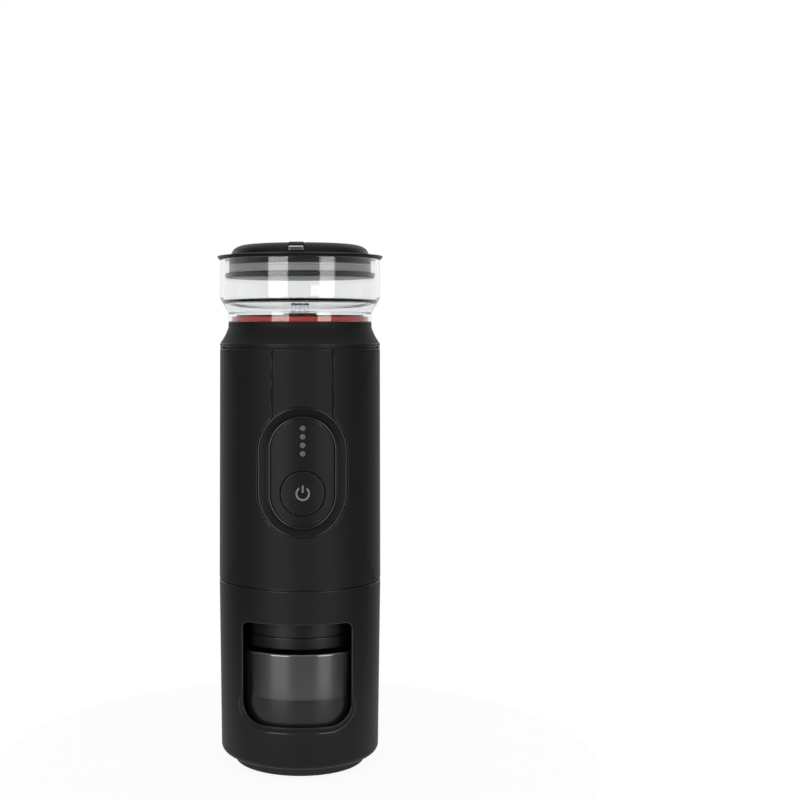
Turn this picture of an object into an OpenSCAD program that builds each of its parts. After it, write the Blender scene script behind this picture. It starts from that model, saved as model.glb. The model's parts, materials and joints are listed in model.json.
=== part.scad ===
// Portable espresso maker: sleeve with a cup, body with battery, pump and heater, clear tank and lid.
// It stands on its foot at z = 0, its axis is Z, and its button faces -Y. Lengths are in millimetres.

/* [Body] */
// Outer diameter of the body at the seam above the sleeve
body_d = 73; // [72:0.5:78]
// How much the body's radius draws in from the seam up to the shoulder
body_draft = 0.5; // [0:0.1:0.8]
// Height of the body tube, from the seam up to the shoulder groove
body_h = 103.2; // [100:0.2:116]
// Wall of the body tube at its top
body_wall = 2.6; // [2:0.1:3]
// Width of the seam and of the shoulder groove
seam_gap = 0.8; // [0.4:0.1:1.2]
// Depth of the seam and of the grooves in the body
groove_depth = 0.7; // [0.4:0.1:1]
// Angle of the two short front grooves from the middle of the front
front_groove_angle = 21; // [16:1:30]
// Angle of the two long side grooves from the middle of the front
side_groove_angle = 71; // [60:1:85]
// Height at which the side grooves end above the seam
side_groove_rise = 4.6; // [3:0.2:12]

/* [Sleeve and foot] */
// Height of the sleeve
sleeve_h = 78.6; // [74:0.2:84]
// Wall of the sleeve at its rim
sleeve_wall = 2.5; // [2:0.1:3]
// How much the sleeve's radius draws in towards its bottom
sleeve_draft = 0.8; // [0:0.1:1]
// Rounding of the sleeve's bottom edge
sleeve_edge_r = 3; // [1:0.2:4]
// Thickness of the sleeve's floor
sleeve_floor = 2.2; // [1.6:0.1:4]
// Width of the window
window_w = 47.5; // [36:0.5:54]
// Height of the window
window_h = 45; // [38:0.5:48]
// Height of the window's sill above the sleeve's bottom
window_sill = 18.8; // [14:0.2:20]
// Rounding of the window's upper corners
window_top_r = 3; // [1:0.5:8]
// Rounding of the window's lower corners
window_low_r = 9; // [3:0.5:14]
// Turn of the window away from the button
sleeve_turn = -4.5; // [-20:0.5:20]
// Outer diameter of the foot ring
foot_d = 59; // [44:1:62]
// Height of the foot ring
foot_h = 4.2; // [2:0.2:8]
// Width of the foot ring's face
foot_face = 9; // [5:0.5:14]

/* [Cup] */
// Height of the cup
cup_h = 48.2; // [36:0.2:50]
// Wall of the cup
cup_wall = 1.8; // [1.2:0.1:2.6]
// How much the cup's radius draws in from the rim to the base
cup_taper = 2; // [0:0.2:4]
// Depth of the cup inside
cup_depth = 20.2; // [16:0.2:30]
// Gap between the cup's rim and the sleeve
cup_gap = 1; // [0.6:0.1:2]

/* [Brew head and holder] */
// How far the capsule holder stands in from the sleeve's bore
holder_in = 6; // [5.5:0.1:8]
// Height of the capsule holder
holder_h = 24.8; // [22:0.2:30]
// Height of the line round the holder above its bottom
holder_line = 5.5; // [4:0.1:12]
// Wall of the capsule holder
holder_wall = 2.5; // [1.8:0.1:3]
// How far the bayonet lugs stand out of the holder
lug_out = 2.2; // [1.4:0.1:2.6]
// Height of the bayonet lugs
lug_h = 2.4; // [1.6:0.1:3]
// Angle that each bayonet lug spans
lug_angle = 24; // [12:1:36]
// Twist between the locked and the open place of the holder
holder_twist = 60; // [48:1:70]
// Depth of the brew head's spigot in the sleeve
spigot_h = 8; // [7:0.2:9]
// Thickness of the silicone ring that the holder presses on
brew_seal_h = 2; // [1.4:0.1:3]
// Radius of the coffee spout's bore
spout_r = 2.5; // [1.5:0.1:4]

/* [Collar] */
// Height of the collar above the shoulder groove
collar_h = 11; // [10:0.2:14]
// Height of the collar's straight brim over the shoulder groove
brim_h = 1.3; // [0.6:0.1:2.4]
// Radius of the hollow curve from the brim to the neck
shoulder_r = 23; // [12:0.5:40]
// How far the neck stands in from the shoulder
neck_in = 3.8; // [3:0.1:4.4]
// Height of the straight neck above the curve
neck_h = 2.3; // [1:0.1:3]

/* [Tank] */
// Height of the tank with its skirt
tank_h = 27.8; // [27:0.2:40]
// Wall of the tank
tank_wall = 2; // [1.4:0.1:3]
// Wall of the tank's skirt
skirt_wall = 1.2; // [1:0.1:1.6]
// Height of the straight skirt
skirt_h = 3.9; // [3:0.1:6]
// Height of the flare from the skirt to the wall
flare_h = 6.5; // [5:0.1:9]
// Thickness of the tank's floor
tank_floor = 2.5; // [1.6:0.1:4]
// Height of the red tank seal
tank_seal_h = 2.8; // [1.6:0.1:3.6]

/* [Lid] */
// How far the lid's flange stands out past the tank
lid_over = 1.35; // [0.5:0.05:3]
// Height of the lid's flange
flange_h = 2.1; // [1.4:0.1:3]
// How far the lid's dome stands in from the tank's wall
dome_in = 5.1; // [3:0.1:8]
// Height of the lid's dome
dome_h = 4.4; // [4:0.1:7]
// How far the dome's rounding reaches in from its foot
dome_round = 7; // [5:0.5:9]
// Depth of the plug below the lid
plug_h = 8.5; // [7:0.1:9]
// Wall of the plug
plug_wall = 2; // [1.4:0.1:3]
// Turn of the lid away from the button
lid_turn = -5; // [-20:1:20]
// Width of the vent flap
flap_w = 6.2; // [4:0.2:9]
// Length of the vent flap
flap_l = 9; // [6:0.5:12]

/* [Controls] */
// Width of the control field
bezel_w = 39.4; // [36:0.2:42]
// Height of the control field
bezel_h = 57; // [52:0.2:60]
// Height of the control field's middle above the seam
bezel_up = 50.4; // [48:0.1:54]
// Width of the control panel
panel_w = 29.8; // [27:0.2:31]
// Height of the control panel
panel_h = 48.4; // [45:0.2:50]
// Diameter of the brew button
button_d = 19; // [16:0.2:20]
// Height of the button's middle below the middle of the field
button_drop = 8.9; // [8:0.1:10]
// Travel of the button
button_travel = 0.8; // [0.4:0.1:1]
// Diameter of an indicator light
light_d = 2.4; // [1.5:0.1:3]
// Distance between neighbouring lights
light_pitch = 3.64; // [3.3:0.02:4]
// Height of the lowest light above the middle of the field
light_up = 8.2; // [6:0.1:9]
// Number of indicator lights
light_count = 4; // [3:1:4]

/* [Battery, pump and heater] */
// Diameter of a battery cell
cell_d = 18.4; // [17:0.1:18.8]
// Length of a battery cell
cell_h = 65; // [60:0.5:67]
// Diameter of the pump motor
motor_d = 24.4; // [20:0.2:26]
// Length of the pump motor
motor_h = 31; // [24:0.5:34]
// Diameter of the motor's shaft
shaft_d = 2; // [1.5:0.1:2.4]
// Module of the pump gears
gear_module = 0.8; // [0.7:0.05:0.85]
// Teeth of each pump gear
gear_teeth = 12; // [11:1:13]
// Height of the pump gears
gear_h = 7.6; // [5:0.2:9]
// How far the heater stands in from the body's bore
heater_in = 9.4; // [8.5:0.1:12]
// Length of the tube between the heater and the collar, which sets the heater's height
inlet_tube_l = 11.8; // [8:0.2:14]
// Outer diameter of the hoses
hose_d = 5; // [4:0.1:5.4]
// Bore of the hoses
hose_bore = 3; // [2:0.1:3.4]

/* [Hidden] */
$fn = 96;

// Clearances
slide_gap = 0.3;     // between pieces that slide or twist past each other
seat_gap = 0.1;      // between fixed pieces that plug into each other
run_gap = 0.05;      // between a shaft and its bearing
eps = 0.01;          // overshoot of a cut past a flat face
far = 60;            // length of a cut that leaves the body altogether

// Radii from the outside inwards
body_r0 = body_d/2;
body_r1 = body_r0 - body_draft;
inner_r = body_r1 - body_wall;
deck_r = inner_r - slide_gap;
sleeve_r0 = body_r0 - sleeve_draft;
sleeve_in_r = body_r0 - sleeve_wall;
spigot_r = sleeve_in_r - slide_gap;
seam_r = body_r0 - groove_depth - seam_gap/4;
cup_r = sleeve_in_r - cup_gap;
holder_r = sleeve_in_r - holder_in;
holder_in_r = holder_r - holder_wall;
lug_r = holder_r + lug_out;
track_r = lug_r + slide_gap;
basket_r = holder_in_r - seat_gap;
neck_r = body_r1 - neck_in;
tank_r = body_r1;                        // flush with the shoulder
tank_in_r = tank_r - tank_wall;
skirt_in_r = neck_r - skirt_wall;
tank_seal_r = skirt_in_r - slide_gap;
boss_r = tank_seal_r - 2;
flange_r = tank_r + lid_over;
dome_r = tank_r - dome_in;
plug_r = tank_in_r - 2.1;
lid_seal_r = tank_in_r - slide_gap;

// Heights from the foot upwards
z_sleeve = foot_h;
z_floor = z_sleeve + sleeve_floor;
z_rim = z_sleeve + sleeve_h;
z_body = z_rim + seam_gap;
z_shoulder = z_body + body_h;
z_collar = z_shoulder + seam_gap;
z_neck = z_collar + collar_h;
z_skirt = z_neck + skirt_h;
z_wall = z_skirt + flare_h;
z_tank_floor = z_wall - 0.3;
z_tank_under = z_tank_floor - tank_floor;
z_tank_rim = z_neck + tank_h;
z_flange = z_tank_rim + flange_h;
z_top = z_flange + dome_h;
z_plug = z_tank_rim - plug_h;
z_window = z_sleeve + window_sill;
z_bezel = z_body + bezel_up;
z_button = z_bezel - button_drop;

// Brew head and holder
z_ceiling = z_rim - 0.8;                 // underside of the brew head
z_holder_top = z_ceiling - brew_seal_h;
z_holder = z_holder_top - holder_h;
track_drop = 6.6;                        // from the sleeve's rim to the bottom of the bayonet track
z_track = z_rim - track_drop;
track_h = lug_h + 2*slide_gap;
ring_r = 0.95;                           // section of the seal ring on the spigot
z_ring = z_rim - 2.3;
ring_seat_r = spigot_r + slide_gap/2 - 2*ring_r - seat_gap;
head_h = 5.2;
z_head_top = z_rim + head_h;
screen_r = holder_in_r - 0.2;
screen_t = 0.8;
holder_base = 2.5;
holder_ring_w = 3;                       // groove under the holder
basket_wall = 0.8;
basket_hole_r = 0.7;
basket_hole_pitch = 4.5;

// Chassis and battery
deck_t = 2.5;
strip_t = 0.4;
z_deck = z_head_top + deck_t;
z_cells = z_deck + strip_t;
z_deck2 = z_cells + cell_h + strip_t;
z_deck2_top = z_deck2 + deck_t;
cell_ring_r = inner_r - cell_d/2 - 2.2;
cell_angles = [35, 90, 145];
strip_w = 7;

// Control board
board_t = 1.6;
board_w = 25;
board_in = 6.4;                          // from the body's bore to the board's front
board_y = board_in - inner_r;

// Pump
motor_front_gap = 4.2;                   // between the control board and the motor
pump_y = board_y + board_t + motor_front_gap + motor_d/2;
gear_pitch_r = gear_module*gear_teeth/2;
gear_centres = 2*gear_pitch_r;
idler_y = pump_y + gear_centres;
chamber_r = gear_pitch_r + gear_module + slide_gap;
chamber_h = gear_h + 2*0.2;
pump_wall = 2.4;
pump_w = 2*(chamber_r + pump_wall);
pump_end = 3.2;                          // metal past each gear chamber
pump_y0 = pump_y - chamber_r - pump_end;
pump_y1 = idler_y + chamber_r + pump_end;
pump_floor = 2;
cover_t = 3;
z_chamber = z_deck + pump_floor;
z_cover = z_chamber + chamber_h;
z_motor = z_cover + cover_t;
port_y = (pump_y + idler_y)/2;
port_r = hose_bore/2;
outlet_x = -4;
shaft_r = shaft_d/2;
shaft_in = 11;                           // length of the shaft in the motor
motor_cap_r = 5;
motor_cap_h = 2;
pin_seat = 1.2;                          // depth of the shaft's and pin's seats
pin_top = 1.6;                           // length of the idler's pin in the cover
pump_screw_l = 7;
pump_screw_in = 2.2;
pump_screw_x = pump_w/2 - pump_screw_in;
pump_screw_y = [pump_y0 + pump_screw_in, pump_y1 - pump_screw_in];

// Heater and hoses
heater_r = inner_r - heater_in;
heater_wall = 3;
heater_side = 4;
collar_deck_t = 4;
nipple_h = 5;                            // hose end under the collar's deck
nipple_wall = 0.8;
standoff_h = 6;
z_heater = z_deck2_top + standoff_h;
z_deck3 = z_neck - collar_deck_t;        // underside of the collar's deck
z_heater_top = z_deck3 - inlet_tube_l;
hose_r = hose_d/2;
hose_x = max(motor_d/2, pump_w/2) + hose_r + 0.5;
bend_r = hose_x - pump_w/2 - 0.9;
z_port = z_chamber + chamber_h/2;
socket_r = 5.2;
socket_wall = 2.3;
z_socket = z_tank_under - 1.7;
tank_pipe_r = 4;
tank_pipe_bore = 2.5;

// Controls
bezel_depths = [0.5, 1.5];               // the channel's outer and inner step, below the body's surface
bezel_back = 3.6;
channel_w = (bezel_w - panel_w)/4;       // width of one step of the channel
panel_rim = 0.9;
panel_rim_depth = 0.3;
panel_depth = 0.6;
panel_t = 1.6;
ledge_w = 1.4;
button_face = 0.4;
switch_h = 1.6;
button_back_y = board_y - switch_h - button_travel - 1.4;
button_flange = 1.3;
z_board = z_bezel - bezel_h/2 - 3;
board_len = bezel_h/2 + 3 + light_up + light_count*light_pitch + 2;
rib_x = board_w/2 - 3;
board_screw_z = [z_board + 3, z_board + board_len - 6];

// Charging port
z_charge = z_deck2_top;
charge_t = 1.6;
charge_w = 18;
charge_l = 24.6;
usb_w = 9;
usb_h = 3.3;
usb_l = 7.3;
z_usb = z_charge + charge_t + usb_h/2;
usb_back = inner_r - 0.8;
port_w = 16;
port_h = 8.6;
port_floor = inner_r + 0.8;
z_hinge = z_usb - port_h/2 - 0.2;
hinge_y = body_r(z_hinge) - 0.45;
knuckle_r = 0.5;

// Fasteners
screw_r = 1.1;
head_r = 2;
head_t = 1.4;
collar_screw_angles = [-35, -145, 62.5, 117.5];
collar_screw_ring = inner_r - 4.9;
collar_screw_grip = 8;                   // length of the screw in the collar's boss
base_screw_ring = 18;
standoff_ring = heater_r - 5;
standoff_angles = [-90, 30, 150];

// Lid's plug and seal
plug_groove = 1.5;                       // depth of the seal's groove
plug_seal_h = 1.7;
z_plug_groove = z_plug + 1;

// Vent flap
flap_in = 2.4;                           // from the dome's foot to the flap's front bend
flap_y = flap_in - dome_r;
flap_t = 1.6;
flap_lip = 0.75;                         // thickness of the lip that hangs over the dome's front
flap_drop = 4;                           // from the dome's top to the lip's lower edge
flap_hinge_y = flap_y + flap_l;

// Radius of the body's drafted surface at a height
function body_r(z) = body_r0 - body_draft*(z - z_body)/body_h;

// Angle, in degrees, of an involute at a pressure angle
function involute(a) = (tan(a) - a*PI/180)*180/PI;

// Half the angle of a tooth at a radius
function tooth_half(r, base, half, pressure) = half + involute(pressure) - involute(acos(min(1, base/r)));

// Outline of a spur gear with involute flanks
function gear_points(teeth, m, pressure=25, backlash=0.12, steps=5) =
    let(pitch = m*teeth/2, base = pitch*cos(pressure), root = pitch - 1.25*m, tip = pitch + m)
    let(half = 90/teeth - backlash/pitch*90/PI, from = max(base, root))
    let(radii = [for (i = [0:steps]) from + (tip - from)*i/steps])
    let(flank = [for (r = radii) [r, tooth_half(r, base, half, pressure)]])
    let(side = concat([[root, tooth_half(from, base, half, pressure)]], flank))
    let(last = len(side) - 1)
    [for (k = [0:teeth - 1])
        for (p = concat([for (s = side) [s[0], -s[1]]], [for (i = [last:-1:0]) side[i]]))
            p[0]*[cos(k*360/teeth + p[1]), sin(k*360/teeth + p[1])]];

// Upright disc between two heights
module disc(r, z0, z1) {
    translate([0, 0, z0]) cylinder(r=r, h=z1 - z0);
}

// Upright tube between two heights
module tube(r_out, r_in, z0, z1) {
    difference() {
        disc(r_out, z0, z1);
        disc(r_in, z0 - eps, z1 + eps);
    }
}

// Block between two corners
module block(low, high) {
    translate(low) cube(high - low);
}

// Round-ended outline, upright
module stadium(w, h) {
    r = w/2;
    square([w, h - w], center=true);
    for (s = [-1, 1]) translate([0, s*(h/2 - r)]) circle(r);
}

// Outline pushed towards the front from the axis, in x and z
module to_front(z) {
    translate([0, 0, z]) rotate([90, 0, 0]) linear_extrude(far) children();
}

// Skin of the body between two depths below its surface
module body_skin(depth_in, depth_out) {
    rotate_extrude()
        polygon([[body_r0 - depth_in, z_body], [body_r0 - depth_out, z_body],
                 [body_r1 - depth_out, z_shoulder], [body_r1 - depth_in, z_shoulder]]);
}

// Round-ended ring or plate that follows the body's skin
module skin_plate(w, h, depth_in, depth_out) {
    intersection() {
        to_front(z_bezel) stadium(w, h);
        body_skin(depth_in, depth_out);
    }
}

// Places children at angles on a circle
module around(angles, r) {
    for (a = angles) rotate([0, 0, a]) translate([r, 0, 0]) children();
}

// Screw that points up, with its head's underside at z = 0
module screw(length) {
    cylinder(r=screw_r, h=length);
    translate([0, 0, -head_t]) cylinder(r=head_r, h=head_t);
}

module window_outline(w, h, top_r, low_r) {
    translate([-w/2 + low_r, 0]) square([w - 2*low_r, h - top_r]);
    translate([-w/2, low_r]) square([w, h - low_r - top_r]);
    translate([-w/2 + top_r, low_r]) square([w - 2*top_r, h - low_r]);
    for (s = [-1, 1]) {
        translate([s*(w/2 - low_r), low_r]) circle(low_r);
        translate([s*(w/2 - top_r), h - top_r]) circle(top_r);
    }
}

// Lower sleeve with its window and scooped sill
module cup_sleeve() {
    scoop = 3.4;
    color("#262627") rotate([0, 0, sleeve_turn]) difference() {
        rotate_extrude() difference() {
            union() {
                polygon([[0, z_sleeve], [sleeve_r0 - sleeve_edge_r, z_sleeve],
                         [sleeve_r0 - sleeve_edge_r, z_sleeve + sleeve_edge_r],
                         [sleeve_r0, z_sleeve + sleeve_edge_r], [body_r0, z_rim], [0, z_rim]]);
                translate([sleeve_r0 - sleeve_edge_r, z_sleeve + sleeve_edge_r]) circle(sleeve_edge_r);
            }
            translate([0, z_floor]) square([sleeve_in_r, sleeve_h]);
        }
        to_front(z_window) window_outline(window_w, window_h, window_top_r, window_low_r);
        translate([0, -body_r0, z_window]) rotate([45, 0, 0])
            cube([window_w - 2*window_low_r, scoop, scoop], center=true);
    }
}

module foot_pad() {
    r = foot_d/2;
    edge = 0.8;
    color("#1b1b1b") rotate_extrude()
        polygon([[r - foot_face, 0], [r - edge, 0], [r, edge], [r, foot_h], [r - foot_face, foot_h]]);
}

// Cup with a raised inner floor and an open skirt below it
module cup() {
    z_cup = z_floor;
    z_top_rim = z_cup + cup_h;
    z_in = z_top_rim - cup_depth;
    base_r = cup_r - cup_taper;
    function wall_r(z) = base_r + cup_taper*(z - z_cup)/cup_h;
    color([0.2, 0.2, 0.21, 0.6]) difference() {
        rotate_extrude() polygon([[0, z_cup], [base_r, z_cup], [cup_r, z_top_rim], [0, z_top_rim]]);
        rotate_extrude()
            polygon([[0, z_in], [wall_r(z_in) - cup_wall, z_in],
                     [cup_r - cup_wall + eps, z_top_rim + eps], [0, z_top_rim + eps]]);
        rotate_extrude()
            polygon([[0, z_cup - eps], [base_r - cup_wall, z_cup - eps],
                     [wall_r(z_in - 2) - cup_wall, z_in - 2], [0, z_in - 2]]);
    }
}

// Vertical groove in the body's skin at an angle from the front
module body_groove(angle, z0, z1) {
    rotate([0, 0, angle]) translate([-seam_gap/2, -body_r0 - 1, z0])
        cube([seam_gap, 1 + groove_depth + body_draft*(z0 + z1 - 2*z_body)/2/body_h, z1 - z0]);
}

module body_shell() {
    color("#2a2a2b") difference() {
        body_skin(body_r0 - inner_r, 0);
        disc(inner_r, z_body - eps, z_shoulder + eps);
        to_front(z_bezel) stadium(bezel_w, bezel_h);
        for (s = [-1, 1]) {
            body_groove(s*front_groove_angle, z_bezel + bezel_h/2 - 1, z_shoulder + eps);
            body_groove(s*side_groove_angle, z_body + side_groove_rise, z_shoulder + eps);
        }
        // pocket, window and hinge groove of the charging port
        block([-port_w/2, port_floor, z_hinge], [port_w/2, far, z_usb + port_h/2]);
        translate([0, 0, z_usb]) rotate([-90, 0, 0]) linear_extrude(far)
            square([usb_w + 1, usb_h + 1.3], center=true);
        translate([-port_w/2, hinge_y, z_hinge]) rotate([0, 90, 0]) cylinder(r=1.3, h=port_w);
    }
}

// Shoulder, neck and seat of the tank, with the bosses that clamp the body tube
module top_collar() {
    wall = 3;
    spigot = 6;
    boss = 3;
    brim = [body_r1, z_shoulder + seam_gap + brim_h];
    neck = [neck_r, z_neck - neck_h];
    chord = norm(neck - brim);
    outwards = [neck[1] - brim[1], brim[0] - neck[0]]/chord;
    curve_centre = (brim + neck)/2 + outwards*sqrt(pow(shoulder_r, 2) - pow(chord/2, 2));
    color("#2c2c2d") difference() {
        union() {
            rotate_extrude() difference() {
                translate([0, z_shoulder]) square([body_r1, z_neck - z_shoulder]);
                intersection() {
                    translate(curve_centre) circle(shoulder_r);
                    translate([neck[0], brim[1]]) square([neck_in + 1, neck[1] - brim[1]]);
                }
                translate(neck) square([neck_in + 1, neck_h + 1]);
                translate([0, z_shoulder - eps]) square([deck_r - wall, z_deck3 - z_shoulder + eps]);
            }
            tube(inner_r - seat_gap, deck_r - wall, z_shoulder - spigot, z_shoulder + eps);
            around(collar_screw_angles, collar_screw_ring) disc(boss, z_deck2_top, z_deck3 + eps);
            tube(boss_r - seat_gap, boss_r - 2.2, z_neck - eps, z_neck + 3.6);
            tube(socket_r + socket_wall, socket_r, z_deck3 + eps, z_socket);
            tube(hose_r + nipple_wall, port_r, z_deck3 - nipple_h, z_deck3 + eps);
        }
        disc(socket_r, z_deck3 + 1, z_socket + eps);
        disc(port_r, z_deck3 - nipple_h - eps, z_deck3 + 1 + eps);
        around(collar_screw_angles, collar_screw_ring)
            disc(screw_r, z_deck2_top - eps, z_deck2_top + collar_screw_grip + 1);
        // the shoulder groove runs across the front, between the two side grooves
        rotate([0, 0, -90 - side_groove_angle]) rotate_extrude(angle=2*side_groove_angle)
            translate([body_r1 - groove_depth, z_shoulder - eps]) square([1, seam_gap + eps]);
    }
}

module tank_seal() {
    color("#a8351f") tube(tank_seal_r, boss_r, z_neck, z_neck + tank_seal_h);
}

// Ring of the control field, in two steps down to the panel, with the ledge that carries the panel
module control_bezel() {
    hole_w = panel_w + 2*seat_gap;
    hole_h = panel_h + 2*seat_gap;
    mid_w = bezel_w - 2*channel_w;
    mid_h = bezel_h - 2*channel_w;
    ledge_z = panel_depth + panel_t + seat_gap;
    color("#232324") difference() {
        skin_plate(bezel_w - 2*seat_gap, bezel_h - 2*seat_gap, bezel_back, bezel_depths[0]);
        skin_plate(mid_w, mid_h, bezel_depths[1], -1);
        skin_plate(hole_w, hole_h, ledge_z, -1);
        to_front(z_bezel) stadium(hole_w - 2*ledge_w, hole_h - 2*ledge_w);
    }
}

// Panel with a raised rim, holes for the lights and a bore for the button
module control_panel() {
    color("#212122") difference() {
        skin_plate(panel_w, panel_h, panel_depth + panel_t, panel_rim_depth);
        skin_plate(panel_w - 2*panel_rim, panel_h - 2*panel_rim, panel_depth, -1);
        to_front(z_button) circle(button_d/2 + slide_gap);
        for (i = [0:light_count - 1])
            to_front(z_bezel + light_up + i*light_pitch) circle(light_d/2 + seat_gap);
    }
}

module indicator_lights() {
    color("#9a9a9a") for (i = [0:light_count - 1]) {
        z = z_bezel + light_up + i*light_pitch;
        front = body_r(z) - panel_depth + 0.15;
        translate([0, board_y - 0.2, z]) rotate([90, 0, 0]) cylinder(d=light_d, h=front + board_y - 0.2);
    }
}

module symbol_outline() {
    r = 3.1;
    line = 0.8;
    difference() {
        circle(r);
        circle(r - line);
        translate([-1.6, 0]) square([3.2, r + 1]);
    }
    translate([-line/2, 0.4]) square([line, r]);
}

module brew_button() {
    color("#252526") difference() {
        union() {
            intersection() {
                to_front(z_button) circle(button_d/2);
                body_skin(body_r0 - inner_r + 2, button_face);
                block([-far, -far, 0], [far, button_back_y, z_top]);
            }
            translate([0, button_back_y, z_button]) rotate([90, 0, 0])
                cylinder(d=button_d, h=inner_r + button_back_y);
            translate([0, button_back_y, z_button]) rotate([90, 0, 0])
                cylinder(r=button_d/2 + button_flange, h=1);
        }
        intersection() {
            to_front(z_button) symbol_outline();
            body_skin(button_face + 0.5, -1);
        }
    }
}

module button_symbol() {
    color("#a0a0a0") intersection() {
        to_front(z_button) symbol_outline();
        body_skin(button_face + 0.5, button_face - 0.08);
    }
}

module switch_plunger() {
    tail = 0.3;
    color("#8a2a20") translate([0, board_y - switch_h + tail, z_button]) rotate([90, 0, 0])
        cylinder(r=1.5, h=board_y - switch_h + tail - button_back_y);
}

module tact_switch() {
    side = 6;
    color("#3a3a3a") difference() {
        block([-side/2, board_y - switch_h, z_button - side/2], [side/2, board_y, z_button + side/2]);
        translate([0, board_y - 0.2, z_button]) rotate([90, 0, 0]) cylinder(r=1.5 + run_gap, h=switch_h);
    }
}

module control_board() {
    color("#1f5c36") difference() {
        block([-board_w/2, board_y, z_board], [board_w/2, board_y + board_t, z_board + board_len]);
        for (s = [-1, 1], z = board_screw_z)
            translate([s*(rib_x + 1.5), board_y + board_t + eps, z]) rotate([90, 0, 0])
                cylinder(r=screw_r + seat_gap, h=board_t + 2*eps);
    }
}

module board_screws() {
    color("#b9bcc0") for (s = [-1, 1], z = board_screw_z)
        translate([s*(rib_x + 1.5), board_y, z]) rotate([-90, 0, 0]) screw(board_t + 2.5);
}

// Two decks joined by ribs and posts, with standoffs for the heater
module chassis() {
    rib_y = board_y + board_t;
    rib_d = 4;
    post_in = 7;
    post_t = 2.5;
    post_y = -10;
    post_w = 10;
    color("#4a4a4c") difference() {
        union() {
            disc(deck_r, z_head_top, z_deck);
            disc(deck_r, z_deck2, z_deck2_top);
            for (s = [-1, 1]) {
                mirror([s < 0 ? 1 : 0, 0, 0]) {
                    block([rib_x, rib_y, z_deck - eps], [rib_x + 3, rib_y + rib_d, z_deck2 + eps]);
                    block([deck_r - post_in, post_y - post_w/2, z_deck - eps],
                          [deck_r - post_in + post_t, post_y + post_w/2, z_deck2 + eps]);
                }
            }
            around(standoff_angles, standoff_ring) disc(2.5, z_deck2_top - eps, z_heater);
        }
        // room for the control field and its board in front of the upper deck
        block([-bezel_w/2, -far, z_deck2 - 1], [bezel_w/2, rib_y, z_deck2_top + 1]);
        translate([hose_x, port_y, 0]) disc(hose_r + seat_gap, z_deck2 - 1, z_deck2_top + 1);
        translate([outlet_x, port_y, 0]) disc(port_r, z_head_top - 1, z_deck + 1);
        around(collar_screw_angles, collar_screw_ring) disc(screw_r + seat_gap, z_deck2 - 1, z_deck2_top + 1);
        around([45:90:315], base_screw_ring) disc(screw_r + seat_gap, z_head_top - 1, z_deck - 0.4);
        for (s = [-1, 1], z = board_screw_z)
            translate([s*(rib_x + 1.5), rib_y - eps, z]) rotate([-90, 0, 0])
                cylinder(r=screw_r + seat_gap, h=2.8);
    }
}

module battery_cells() {
    color("#2f6fa8") around(cell_angles, cell_ring_r) disc(cell_d/2, z_cells, z_cells + cell_h);
}

// Welded strips: two neighbours joined at the bottom, the other pair at the top
module cell_strips() {
    color("#c9c6bd") {
        for (end = [0, 1]) {
            pair = end == 0 ? [0, 1] : [1, 2];
            z = end == 0 ? z_deck : z_cells + cell_h;
            a = (cell_angles[pair[0]] + cell_angles[pair[1]])/2;
            half = (cell_angles[pair[1]] - cell_angles[pair[0]])/2;
            rotate([0, 0, a - 90]) translate([0, cell_ring_r*cos(half), z + strip_t/2])
                cube([2*cell_ring_r*sin(half) + strip_w, strip_w, strip_t], center=true);
        }
        around([cell_angles[2]], cell_ring_r) disc(strip_w/2, z_deck, z_cells);
        around([cell_angles[0]], cell_ring_r) disc(strip_w/2, z_cells + cell_h, z_deck2);
    }
}

// Divider between the motor and the cells, hung from the upper deck
module battery_bracket() {
    height = 0.7*cell_h;
    depth = 8;
    half_w = cell_ring_r*cos(cell_angles[0]) - cell_d/3;
    y0 = pump_y + motor_d/2 + 0.8;
    color("#58585a") difference() {
        block([-half_w, y0, z_deck2 - height], [half_w, y0 + depth, z_deck2]);
        around(cell_angles, cell_ring_r) disc(cell_d/2 + seat_gap, z_deck2 - height - 1, z_deck2 + 1);
    }
}

module pump_motor() {
    color("#9a9da1") translate([0, pump_y, 0]) difference() {
        union() {
            disc(motor_d/2, z_motor, z_motor + motor_h);
            disc(motor_cap_r, z_motor + motor_h - eps, z_motor + motor_h + motor_cap_h);
        }
        disc(shaft_r + run_gap, z_motor - 1, z_motor + shaft_in + 1);
    }
}

module motor_shaft() {
    color("#d0d2d4") translate([0, pump_y, 0]) disc(shaft_r, z_chamber - pin_seat, z_motor + shaft_in);
}

module pump_gear(phase) {
    translate([0, 0, z_chamber + (chamber_h - gear_h)/2]) rotate([0, 0, phase]) linear_extrude(gear_h)
        polygon(gear_points(gear_teeth, gear_module));
}

module drive_gear() {
    tooth_up = 90 - floor(90*gear_teeth/360)*360/gear_teeth;
    color("#d8d2c0") translate([0, pump_y, 0]) difference() {
        pump_gear(tooth_up);
        disc(shaft_r, z_chamber - 1, z_cover + 1);
    }
}

module idler_gear() {
    gap_down = 270 + 180/gear_teeth;
    color("#d8d2c0") translate([0, idler_y, 0]) difference() {
        pump_gear(gap_down);
        disc(shaft_r + run_gap, z_chamber - 1, z_cover + 1);
    }
}

module idler_pin() {
    color("#d0d2d4") translate([0, idler_y, 0]) disc(shaft_r, z_chamber - pin_seat, z_cover + pin_top);
}

module pump_outline() {
    translate([-pump_w/2, pump_y0]) square([pump_w, pump_y1 - pump_y0]);
}

module pump_screw_places() {
    for (s = [-1, 1], y = pump_screw_y) translate([s*pump_screw_x, y, 0]) children();
}

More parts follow.
